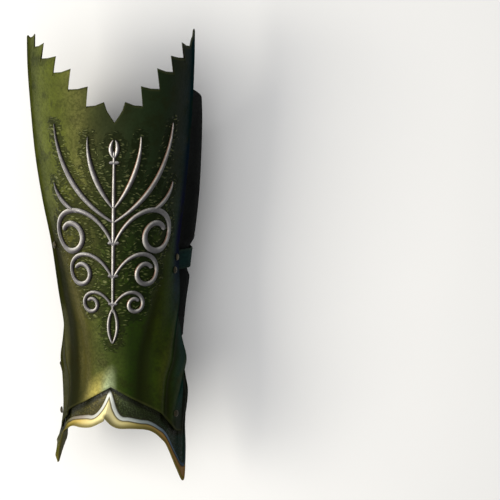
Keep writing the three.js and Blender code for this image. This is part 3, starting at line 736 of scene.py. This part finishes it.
def buckle():
    """The buckle: a wire frame between an ellipse and a rectangle, with a middle bar and a tongue that arches
    over to the frame's end and thins towards its tip."""
    wire = BUCKLE["wire"]
    a, b = BUCKLE["length"] / 2 - wire, BUCKLE["width"] / 2 - wire
    around, along_bar = BUCKLE_STEPS

    def over(turn, height, out):
        return calf_point(np.float64(turn), np.float64(height), out + STRAP_WALL + BUCKLE["lift"])

    foot, along, up, normal = standing(over, BUCKLE["turn"], strap_height(BUCKLE["turn"]))

    def wires(x, y, z, radii, closed=False):
        """A tube along places given along, up and off the strap, with a round section across its course."""
        x, y, z, radii = (v[:, None] for v in np.broadcast_arrays(x, y, z, radii))
        centres = foot + (x * along + y * up + z * normal) * MM
        ahead = np.roll(centres, -1, 0) - np.roll(centres, 1, 0)
        if not closed:
            ahead[0], ahead[-1] = centres[1] - centres[0], centres[-1] - centres[-2]
        ahead = unit(ahead)
        side = unit(np.cross(ahead, normal))
        angles = circle(ROUND_SIDES)[None, :, None]
        ring = side[:, None] * np.cos(angles) + np.cross(side, ahead)[:, None] * np.sin(angles)
        return rings(centres[:, None] + ring * radii[:, None] * MM, closed)

    t = circle(around)
    x, y = (reach * np.sign(v) * np.abs(v) ** 0.42 for reach, v in ((a, np.cos(t)), (b, np.sin(t))))
    s = np.linspace(0, 1, along_bar + 1)
    round_end = np.sqrt(np.clip(np.minimum(s, 1 - s) / 0.05, 0, 1))
    bar = wires(-1, lerp(-b, b, s), 1, 1.15 * round_end + 0.01)
    arch = 1 + 1.7 * np.sin(np.pi * s) ** 0.7
    tongue = wires(lerp(-2.4, a + 0.9, s), 0, arch, lerp(wire, 0.9, s) * round_end + 0.01)
    return *joined([wires(x, y, 1, wire, True), bar, tongue]), {}


# Materials.

# Colours around the leg: the turn, from 0 on the left to 1 on the right, then red, green and blue. Besides the
# green dye they hold painted light: olive where the key light falls on the left, painted shade on the far left
# flank and in the flutes, and dark green and teal as painted shade on the right.
SHELL_HIGH_DYE_LIT_TO_SHADED = [
    (0.04, 0.03, 0.034, 0.007), (0.17, 0.08, 0.096, 0.012),
    (0.29, 0.075, 0.09, 0.014), (0.37, 0.066, 0.073, 0.016),
    (0.46, 0.022, 0.033, 0.011), (0.56, 0.016, 0.028, 0.011),
    (0.7, 0.011, 0.021, 0.009), (0.8, 0.006, 0.011, 0.008),
    (0.88, 0.0015, 0.011, 0.014),
]
SHELL_LOW_DYE_LIT_TO_SHADED = [
    (0.04, 0.02, 0.02, 0.004), (0.15, 0.024, 0.024, 0.004),
    (0.27, 0.05, 0.044, 0.006), (0.36, 0.04, 0.046, 0.007),
    (0.46, 0.038, 0.062, 0.01), (0.53, 0.03, 0.052, 0.007),
    (0.59, 0.011, 0.026, 0.003), (0.67, 0.018, 0.036, 0.004),
    (0.75, 0.026, 0.038, 0.004), (0.82, 0.016, 0.03, 0.004),
    (0.9, 0.002, 0.02, 0.017),
]
# The ankle plate's wash, gilding and silvering hold painted light: a painted highlight near the cusp, where the
# flare faces the key light, and painted shade away from it, darkest on the right.
PLATE_WASH_LIT_TO_SHADED = [
    (0.05, 0.05, 0.05, 0.01), (0.2, 0.045, 0.045, 0.008),
    (0.36, 0.1, 0.085, 0.018), (0.46, 0.2, 0.165, 0.045),
    (0.55, 0.055, 0.075, 0.025), (0.7, 0.022, 0.036, 0.01),
    (0.82, 0.012, 0.026, 0.014), (0.93, 0.004, 0.026, 0.026),
]
GILDING_LIT_AT_CUSP = [
    (0.1, 0.06, 0.06, 0.01), (0.2, 0.1, 0.09, 0.016),
    (0.34, 0.55, 0.4, 0.1), (0.49, 0.95, 0.84, 0.42),
    (0.62, 0.42, 0.34, 0.09), (0.78, 0.3, 0.17, 0.045),
    (0.93, 0.16, 0.09, 0.03),
]
SILVERING_LIT_AT_CUSP = [
    (0.1, 0.05, 0.052, 0.01), (0.24, 0.09, 0.085, 0.04),
    (0.36, 0.27, 0.235, 0.2), (0.5, 0.72, 0.74, 0.68),
    (0.64, 0.3, 0.34, 0.32), (0.78, 0.1, 0.14, 0.18),
    (0.93, 0.02, 0.04, 0.06),
]
# Colours across a stroke of the scrollwork, from its side in shade at 0 to its lit side at 1.
SILVER_SIDES = [
    (0.08, 0.01, 0.008, 0.01), (0.38, 0.055, 0.05, 0.055),
    (0.58, 0.24, 0.23, 0.23), (0.8, 0.85, 0.82, 0.76),
    (0.96, 0.42, 0.19, 0.09),
]


class Graph:
    """Adds nodes to a material or group, each fed by the outputs or values given for its inputs."""

    def __init__(self, tree):
        self.tree = tree

    def node(self, kind, inputs=None, **settings):
        made = self.tree.nodes.new("ShaderNode" + kind)
        for key, value in settings.items():
            setattr(made, key, value)
        for key, value in (inputs or {}).items():
            self.feed(made.inputs[key], value)
        return made

    def feed(self, socket, value):
        if isinstance(value, bpy.types.NodeSocket):
            self.tree.links.new(value, socket)
        else:
            socket.default_value = value

    def math(self, operation, a, b, clamp=False):
        return self.node("Math", {0: a, 1: b}, operation=operation, use_clamp=clamp).outputs[0]

    def times(self, first, *others):
        for other in others:
            first = self.math("MULTIPLY", first, other)
        return first

    def plus(self, a, b):
        return self.math("ADD", a, b)

    def mix(self, share, a, b):
        return self.node("Mix", {0: share, 6: a, 7: b}, data_type="RGBA").outputs[2]

    def coats(self, color, *layers):
        """A colour with others laid over it in turn, each by its share."""
        for share, laid in layers:
            color = self.mix(share, color, (*laid, 1))
        return color

    def remap(self, value, low, high, to_low=0.0, to_high=1.0):
        """A smooth step from one value at the low end to another at the high end."""
        inputs = {0: value, 1: low, 2: high, 3: to_low, 4: to_high}
        return self.node("MapRange", inputs, interpolation_type="SMOOTHSTEP").outputs[0]

    def near(self, value, centre, reach, flat=0.0):
        """1 where a value is within a little of a centre, falling to 0 at a reach from it."""
        away = self.math("ABSOLUTE", self.math("SUBTRACT", value, centre), 0.0)
        return self.remap(away, reach, flat)

    def noise(self, vector, scale, detail=4.0, roughness=0.55):
        inputs = {"Vector": vector, "Scale": scale, "Detail": detail, "Roughness": roughness}
        return self.node("TexNoise", inputs).outputs["Fac"]

    def bump(self, height, strength, distance):
        inputs = {"Strength": strength, "Distance": distance, "Height": height}
        return self.node("Bump", inputs).outputs[0]

    def attribute(self, name, output="Fac"):
        return self.node("Attribute", attribute_name=name).outputs[output]

    def ramp(self, value, stops):
        made = self.node("ValToRGB", {0: value})
        elements = made.color_ramp.elements
        while len(elements) < len(stops):
            elements.new(0.5)
        for element, (at, *color) in zip(elements, stops):
            element.position = at
            element.color = (*color, 1)
        return made.outputs[0]


def group(name, **inputs):
    """A shader group with inputs of the given defaults that puts out a colour, a roughness and a normal, and
    the ends to wire it to."""
    tree = bpy.data.node_groups.new(name, "ShaderNodeTree")
    for key, default in inputs.items():
        kind = "NodeSocketFloat" if isinstance(default, float) else "NodeSocketColor"
        tree.interface.new_socket(key, in_out="INPUT", socket_type=kind).default_value = default
    for key, kind in (("Color", "Color"), ("Roughness", "Float"), ("Normal", "Vector")):
        tree.interface.new_socket(key, in_out="OUTPUT", socket_type="NodeSocket" + kind)
    return Graph(tree), tree.nodes.new("NodeGroupInput").outputs, tree.nodes.new("NodeGroupOutput").inputs


def leather_group():
    """Leather: pores and creases as bump, clouds and specks in the dye, and a roughness that follows them."""
    shares = dict(Clouds=0.5, Specks=0.4, Grain=0.5, Roughness=0.5, Relief=0.0)
    g, given, result = group("leather", Color=(0.1, 0.1, 0.1, 1), Deep=(0.01, 0.01, 0.01, 1), **shares)
    where = g.node("TexCoord").outputs["Object"]
    clouds = g.remap(g.noise(where, 34.0, 5.0, 0.6), 0.36, 0.66)
    specks = g.remap(g.noise(where, 420.0, 3.0, 0.7), 0.42, 0.62)
    pores = g.node("TexVoronoi", {"Vector": where, "Scale": 780.0}, feature="SMOOTH_F1").outputs["Distance"]
    creases = g.noise(where, 150.0, 6.0, 0.65)
    dye = g.mix(g.times(clouds, given["Clouds"]), given["Color"], given["Deep"])
    dye = g.mix(g.times(specks, given["Specks"]), dye, given["Deep"])
    height = g.plus(g.times(pores, 0.35), g.times(creases, 0.9))
    height = g.plus(g.times(height, given["Grain"]), given["Relief"])
    rough = g.plus(given["Roughness"], g.times(g.plus(specks, -0.5), 0.16))
    g.feed(result["Color"], dye)
    g.feed(result["Roughness"], g.plus(rough, g.times(g.plus(clouds, -0.5), 0.14)))
    g.feed(result["Normal"], g.bump(height, 0.9, 0.0006))


def metal_group():
    """Aged metal: worn bright on its face and dark in its recesses, with small dents."""
    colors = dict(Bright=(0.6, 0.6, 0.6, 1), Tarnish=(0.05, 0.05, 0.05, 1))
    g, given, result = group("aged_metal", **colors, Age=0.5, Roughness=0.4)
    where = g.node("TexCoord").outputs["Object"]
    patches = g.remap(g.noise(where, 210.0, 6.0, 0.7), 0.38, 0.64)
    dents = g.noise(where, 520.0, 3.0, 0.6)
    share = g.times(patches, given["Age"])
    g.feed(result["Color"], g.mix(share, given["Bright"], given["Tarnish"]))
    g.feed(result["Roughness"], g.plus(given["Roughness"], g.times(share, 0.3)))
    g.feed(result["Normal"], g.bump(dents, 0.6, 0.0004))


def material(name):
    """An empty material: its graph and its shader."""
    made = bpy.data.materials.new(name)
    assert made.name == name
    made.use_nodes = True
    made.node_tree.nodes.clear()
    graph = Graph(made.node_tree)
    shader = graph.node("BsdfPrincipled")
    graph.node("OutputMaterial", {"Surface": shader.outputs[0]}).is_active_output = True
    return graph, shader


def dressed(graph, shader, group_name, **inputs):
    """Wires a group, given its inputs, into a shader's colour, roughness and normal."""
    made = graph.node("Group", inputs, node_tree=bpy.data.node_groups[group_name])
    for source, socket in (("Color", "Base Color"), ("Roughness", "Roughness"), ("Normal", "Normal")):
        graph.feed(shader.inputs[socket], made.outputs[source])


def gloss(graph, shader, level, even):
    """A specular level that fades where the surface turns edge on, as the shine of waxed leather does. The
    even level stands in where only a plain number is read."""
    socket = shader.inputs["Specular IOR Level"]
    socket.default_value = even
    facing = graph.node("LayerWeight", {"Blend": 0.5}).outputs["Facing"]
    graph.feed(socket, graph.times(graph.remap(facing, 0.75, 0.25), level))


def shell_leather():
    """Green dyed leather with painted light: olive where the key light falls on the left of the shin, dark
    green and teal as painted shade on its right, painted shade in the flutes and painted highlights on their
    crests and the lip, with the short strokes of a matting tool around the scrollwork and pale worn edges."""
    g, shader = material("dyed_leather_painted_light")
    names = ("turn", "height", "halo", "relief", "shade", "lip", "edge")
    turn, height, halo, carved, shade, lip, edge = (g.attribute(name) for name in names)
    place = g.attribute("place", "Vector")
    # Painted shade below the knee notch and its nearest teeth.
    shade_below_teeth = g.times(g.remap(height, 0.68, 0.8), g.near(turn, 0.48, 0.15))
    # A painted violet sheen on the shaded right flank.
    violet_sheen = g.times(g.remap(turn, 0.84, 0.9), g.near(height, 0.58, 0.26))
    # Painted shade on the far left flank, which turns away from the key light.
    left_flank_shade = g.times(g.remap(turn, 0.17, 0.09), g.near(height, 0.46, 0.2))
    blot = g.noise(place, 0.06, 5.0, 0.65)
    # The matting: cells of a stretched and warped pattern, each struck or not by its own chance.
    warp = g.node("TexNoise", {"Vector": place, "Scale": 0.1, "Detail": 1.0}).outputs["Color"]
    bent = g.node("VectorMath", {0: warp, 1: (6.0, 8.0, 0.0), 2: place}, operation="MULTIPLY_ADD").outputs[0]
    stretched = g.node("Mapping", {"Vector": bent, "Scale": (0.19, 0.5, 1.0)}).outputs[0]
    strikes = g.node("TexVoronoi", {"Vector": stretched, "Scale": 1.0}, feature="F1").outputs
    marks = g.remap(strikes["Distance"], 0.62, 0.08)
    matted = g.remap(g.plus(halo, g.times(strikes["Color"], 0.55)), 0.54, 0.66)
    # The matting's flecks are painted highlights, stronger on the lit left, and its pits are painted shade.
    fleck_highlight = g.times(matted, g.remap(marks, 0.45, 0.85), g.remap(turn, 0.75, 0.4, 0.4, 0.85))
    pit_shade = g.times(matted, g.remap(marks, 0.35, 0.0))
    color = g.coats(
        g.mix(g.remap(height, 0.42, 0.76), g.ramp(turn, SHELL_LOW_DYE_LIT_TO_SHADED), g.ramp(turn, SHELL_HIGH_DYE_LIT_TO_SHADED)),
        (g.times(shade_below_teeth, 0.65), (0.018, 0.025, 0.012)),
        (g.times(violet_sheen, 0.85), (0.008, 0.004, 0.028)),
        (g.times(left_flank_shade, 0.75), (0.008, 0.008, 0.002)),
        (g.remap(blot, 0.5, 0.66, 0.0, 0.55), (0.012, 0.014, 0.004)),
        # Painted shade where the relief sinks into the flutes' valleys, and a painted highlight on their
        # crests.
        (g.remap(carved, 0.2, -1.9, 0.0, 0.72), (0.007, 0.007, 0.002)),
        (g.remap(carved, 0.5, 1.9, 0.0, 0.2), (0.08, 0.078, 0.016)),
        (fleck_highlight, (0.17, 0.18, 0.075)),
        (g.times(pit_shade, 0.75), (0.004, 0.008, 0.003)),
        (g.remap(shade, 0.0, 0.85), (0.008, 0.0072, 0.0015)),
        (g.times(g.attribute("shine"), 0.55), (0.095, 0.08, 0.012)),
        # Painted highlights on the lip, left of the apex and at it, where it catches the key light.
        (g.times(g.near(turn, 0.43, 0.1), lip, 0.9), (0.56, 0.47, 0.12)),
        (g.times(g.near(turn, 0.485, 0.05), lip, 0.9), (0.4, 0.5, 0.3)),
        (g.remap(edge, 1.2, 0.2, 0.0, 0.3), (0.06, 0.06, 0.02)),
        (g.times(g.attribute("seam"), 0.75), (0.005, 0.007, 0.003)),
        (g.attribute("inside"), (0.022, 0.018, 0.012)),
    )
    depth = dict(Roughness=g.plus(0.42, g.times(matted, 0.08)), Relief=g.times(matted, marks, 2.0))
    shares = dict(Clouds=0.35, Specks=0.3, Grain=0.4)
    dressed(g, shader, "leather", Color=color, Deep=(0.006, 0.01, 0.003, 1), **shares, **depth)
    shader.inputs["Specular Tint"].default_value = (1.0, 0.92, 0.35, 1)
    level = g.times(g.remap(turn, 0.75, 0.4, 0.04, 0.15), g.remap(shade, 0.8, 0.1, 0.3, 1.0))
    gloss(g, shader, level, 0.1)


def plate_leather():
    """Pebbled leather under a gold and green wash, with a gold rim and a silver rib parted by a dark line. The
    wash,
    gold and silver hold painted light: a painted highlight near the cusp and painted shade towards the right.
    """
    g, shader = material("gilded_leather_painted_light")
    turn, gold, silver, edge = (g.attribute(name) for name in ("turn", "gold", "silver", "edge"))
    place = g.attribute("place", "Vector")
    dots = g.node("TexVoronoi", {"Vector": place, "Scale": 0.62}, feature="F1").outputs["Distance"]
    pebbles = g.remap(dots, 0.62, 0.12)
    plain = g.math("SUBTRACT", 1.0, g.math("MAXIMUM", gold, silver), clamp=True)
    between = g.times(plain, g.remap(pebbles, 0.55, 0.1, 0.0, 0.6))
    color = g.coats(g.ramp(turn, PLATE_WASH_LIT_TO_SHADED), (between, (0.01, 0.014, 0.004)))
    worn = g.remap(edge, 3.6, 0.3, 0.0, 0.85)
    color = g.mix(gold, color, g.coats(g.ramp(turn, GILDING_LIT_AT_CUSP), (worn, (0.09, 0.075, 0.012))))
    color = g.coats(
        g.mix(silver, color, g.ramp(turn, SILVERING_LIT_AT_CUSP)),
        (g.times(g.attribute("line"), 0.75), (0.04, 0.02, 0.008)),
        # Painted shadow of the shell's lower edge on the plate.
        (g.times(g.attribute("under"), 0.93), (0.004, 0.005, 0.002)),
    )
    lining = g.mix(g.remap(edge, 16.0, 6.0), (0.02, 0.017, 0.01, 1), (0.05, 0.047, 0.01, 1))
    color = g.mix(g.attribute("inside"), color, lining)
    relief = g.times(pebbles, plain, g.remap(edge, 26.0, 6.0, 0.25, 1.0), 0.8)
    shares = dict(Clouds=g.times(plain, 0.4), Specks=g.times(plain, 0.3), Grain=0.35, Roughness=0.4)
    dressed(g, shader, "leather", Color=color, Deep=(0.01, 0.011, 0.004, 1), Relief=relief, **shares)
    gloss(g, shader, g.remap(turn, 0.75, 0.5, 0.05, 0.18), 0.12)


def plain_leather(name, color, deep, roughness, edge_color):
    """Leather of one colour, worn at its edges and creased along them."""
    g, shader = material(name)
    edge = g.attribute("edge")
    worn = g.coats(color, (g.remap(edge, 1.6, 0.1, 0.0, 0.7), edge_color))
    crease = g.times(g.near(edge, 2.3, 0.5, 0.1), -1.4)
    shares = dict(Clouds=0.5, Specks=0.45, Grain=0.6, Roughness=roughness)
    dressed(g, shader, "leather", Color=worn, Deep=(*deep, 1), Relief=crease, **shares)
    gloss(g, shader, 0.04, 0.04)


def worn_silver_painted_light(tarnish):
    """Silver with painted light: a painted highlight on the lit side of each stroke, and painted shade on its
    other side and to the right of the shin.
    """
    g, shader = material("worn_silver_painted_light")
    # Painted shade on the strokes to the right of the shin.
    shade_right = g.remap(g.attribute("turn"), 0.5, 0.72, 0.0, 0.55)
    face = g.coats(g.ramp(g.attribute("side"), SILVER_SIDES), (shade_right, (0.06, 0.065, 0.07)))
    dressed(g, shader, "aged_metal", Bright=face, Tarnish=tarnish, Age=0.38, Roughness=0.36)
    shader.inputs["Metallic"].default_value = 0.3
    shader.inputs["Specular IOR Level"].default_value = 0.4


def dark_brass(color):
    """Brass that has darkened all over."""
    g, shader = material("dark_brass")
    dressed(g, shader, "aged_metal", Bright=color, Tarnish=(0.01, 0.011, 0.008, 1), Age=0.8, Roughness=0.42)
    shader.inputs["Metallic"].default_value = 0.75


def materials(settings):
    leather_group()
    metal_group()
    shell_leather()
    plate_leather()
    # The calf panel's black dye is darkened further as painted shade.
    plain_leather("black_leather_painted_shade", settings.panel_color, (0.0015, 0.0015, 0.0015), 0.5, (0.014, 0.013, 0.01))
    plain_leather("teal_leather", settings.strap_color, (0.0015, 0.005, 0.005), 0.46, (0.016, 0.026, 0.016))
    worn_silver_painted_light(settings.tarnish_color)
    dark_brass(settings.brass_color)


# Stage.


def area_light(name, location, target, size, power, color):
    """A rectangle of light that faces its target."""
    data = bpy.data.lights.new(name, "AREA")
    data.shape = "RECTANGLE"
    data.size, data.size_y = size
    data.energy = power
    data.color = color
    back = unit(np.subtract(location, target))
    side = unit(np.cross((0.0, 1.0, 0.0), back))
    turned = np.column_stack([side, np.cross(back, side), back])
    placed(name, data).matrix_world = Matrix.Translation(location) @ Matrix(turned.tolist()).to_4x4()


def floor():
    """A square of plain pale paper."""
    data = bpy.data.meshes.new("floor")
    data.from_pydata([(-6, -6, 0), (6, -6, 0), (6, 6, 0), (-6, 6, 0)], [], [(0, 1, 2, 3)])
    graph, shader = material("paper")
    where = graph.node("TexCoord").outputs["Object"]
    tint = graph.mix(graph.noise(where, 3.0), (0.86, 0.86, 0.86, 1), (0.9, 0.9, 0.9, 1))
    graph.feed(shader.inputs["Base Color"], tint)
    graph.feed(shader.inputs["Roughness"], 0.9)
    data.materials.append(bpy.data.materials["paper"])
    placed("floor", data)


def stage(settings):
    """The floor, an even white world, two soft lights, and the camera, which looks down on the greave from a
    distance, tilted towards the knee."""
    floor()
    world = bpy.data.worlds.new("studio")
    world.use_nodes = True
    background = world.node_tree.nodes["Background"]
    background.inputs["Color"].default_value = (1.0, 1.0, 1.0, 1)
    background.inputs["Strength"].default_value = settings.ambient
    bpy.context.scene.world = world
    area_light("key", (-1.1, -0.1, 1.0), (0, 0, 0.06), (0.7, 0.9), settings.key_power, (1.0, 0.96, 0.86))
    area_light("top", (-0.5, 0.2, 1.9), (0, 0, 0), (1.6, 1.6), settings.top_power, (1.0, 1.0, 1.0))
    data = bpy.data.cameras.new("camera")
    data.sensor_width, data.lens = 36, 144.8
    data.clip_start, data.clip_end = 0.05, 50
    camera = placed("camera", data)
    tilt = settings.camera_tilt
    target = np.array([0.11905, 0.0075, 0.065])
    camera.location = target + settings.camera_distance * np.array([0, math.sin(tilt), math.cos(tilt)])
    camera.rotation_euler = (-tilt, 0, 0)
    bpy.context.scene.camera = camera
    bpy.context.scene.view_settings.view_transform = "Standard"


# The add-on.


def level(name, description, default):
    return bpy.props.FloatProperty(name=name, description=description, default=default, min=0)


def size(name, description, default):
    """A length, given in millimetres."""
    return bpy.props.FloatProperty(name=name, description=description, default=default * MM, unit="LENGTH")


def color(name, description, *default):
    kind = dict(size=4, subtype="COLOR", min=0, max=1)
    return bpy.props.FloatVectorProperty(name=name, description=description, default=(*default, 1), **kind)


class GreaveSettings(bpy.types.PropertyGroup):
    """Sizes and colours of the pieces, and the stage"""

    strap_width: size("Strap width", "Width of both straps", 16)
    rib_height: size("Rib height", "How far the rib of the ankle plate is raised", 1.2)
    stroke_rise: size("Stroke rise", "How far the scrollwork is raised", 1.6)
    # The panel's colour is black dye, darkened further as painted shade.
    panel_color: color("Panel", "Dye of the calf panel", 0.004, 0.005, 0.0047)
    strap_color: color("Straps", "Dye of the straps", 0.005, 0.022, 0.019)
    tarnish_color: color("Tarnish", "Tarnish on the scrollwork", 0.05, 0.04, 0.04)
    brass_color: color("Brass", "Brass of the buckle and the rivets", 0.06, 0.048, 0.022)
    key_power: level("Key light", "Power of the key light", 19.0)
    top_power: level("Top light", "Power of the light above", 16.0)
    ambient: level("Ambient", "Strength of the light all round", 0.38)
    camera_distance: size("Camera distance", "From the camera to the greave", 1800)
    camera_tilt: bpy.props.FloatProperty(
        name="Camera tilt",
        description="How far the camera leans towards the knee",
        default=math.radians(8),
        subtype="ANGLE",
    )


class MakeMaterials(Operator):
    """Make the leathers and metals"""

    bl_idname = "greave.materials"
    bl_label = "Materials"

    def execute(self, context):
        materials(context.scene.greave)
        return {"FINISHED"}


class MakeShell(Operator):
    """Make the shin shell"""

    bl_idname = "greave.shell"
    bl_label = "Shin shell"

    def execute(self, context):
        piece("leather_shell", shin_shell(), "shin_shell", "dyed_leather_painted_light")
        return {"FINISHED"}


class MakePlate(Operator):
    """Make the ankle plate"""

    bl_idname = "greave.plate"
    bl_label = "Ankle plate"

    def execute(self, context):
        rib_height = context.scene.greave.rib_height / MM
        piece("leather_plate", ankle_plate(rib_height), "ankle_plate", "gilded_leather_painted_light")
        return {"FINISHED"}


class MakePanel(Operator):
    """Make the calf panel"""

    bl_idname = "greave.panel"
    bl_label = "Calf panel"

    def execute(self, context):
        piece("leather_panel", calf_panel(), "calf_panel", "black_leather_painted_shade")
        return {"FINISHED"}


class MakeStraps(Operator):
    """Make the two straps and the buckle"""

    bl_idname = "greave.straps"
    bl_label = "Straps"

    def execute(self, context):
        width = context.scene.greave.strap_width / MM
        long = strap_part(STRAP_RIGHT, OVERLAP_TO, width, over_lap)
        piece("leather_strap", long, "strap", "teal_leather")
        short = strap_part(OVERLAP_FROM, STRAP_LEFT, width, np.zeros_like)
        piece("leather_buckle_strap", short, "buckle_strap", "teal_leather")
        piece("brass_buckle", buckle(), "buckle", "dark_brass")
        return {"FINISHED"}


class MakeScrolls(Operator):
    """Make the scrollwork"""

    bl_idname = "greave.scrolls"
    bl_label = "Scrollwork"

    def execute(self, context):
        stroke_rise = context.scene.greave.stroke_rise / MM
        piece("silver_scrolls", scroll_ornament(stroke_rise), "scroll_ornament", "worn_silver_painted_light")
        return {"FINISHED"}


class MakeRivets(Operator):
    """Make the rivets"""

    bl_idname = "greave.rivets"
    bl_label = "Rivets"

    def execute(self, context):
        for turn, height, seat, node in RIVETS:
            piece("head_of_" + node, rivet(turn, height, seat), node, "dark_brass")
        return {"FINISHED"}


class MakeStage(Operator):
    """Make the floor, the lights and the camera"""

    bl_idname = "greave.stage"
    bl_label = "Stage"

    def execute(self, context):
        stage(context.scene.greave)
        return {"FINISHED"}


OPERATORS = [MakeMaterials, MakeShell, MakePlate, MakePanel, MakeStraps, MakeScrolls, MakeRivets, MakeStage]


class GreavePanel(bpy.types.Panel):
    """The greave's settings and its pieces"""

    bl_idname = "VIEW3D_PT_greave"
    bl_label = "Greave"
    bl_space_type = "VIEW_3D"
    bl_region_type = "UI"
    bl_category = "Greave"

    def draw(self, context):
        settings = context.scene.greave
        for name in GreaveSettings.__annotations__:
            self.layout.prop(settings, name)
        for operator in OPERATORS:
            self.layout.operator(operator.bl_idname)


CLASSES = [GreaveSettings, *OPERATORS, GreavePanel]


def register():
    for cls in CLASSES:
        bpy.utils.register_class(cls)
    bpy.types.Scene.greave = bpy.props.PointerProperty(type=GreaveSettings)


def unregister():
    del bpy.types.Scene.greave
    for cls in reversed(CLASSES):
        bpy.utils.unregister_class(cls)


def main():
    register()
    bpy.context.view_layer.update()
    for name in ("materials", "stage", "shell", "plate", "panel", "straps", "scrolls", "rivets"):
        getattr(bpy.ops.greave, name)()


if __name__ == "__main__":
    main()
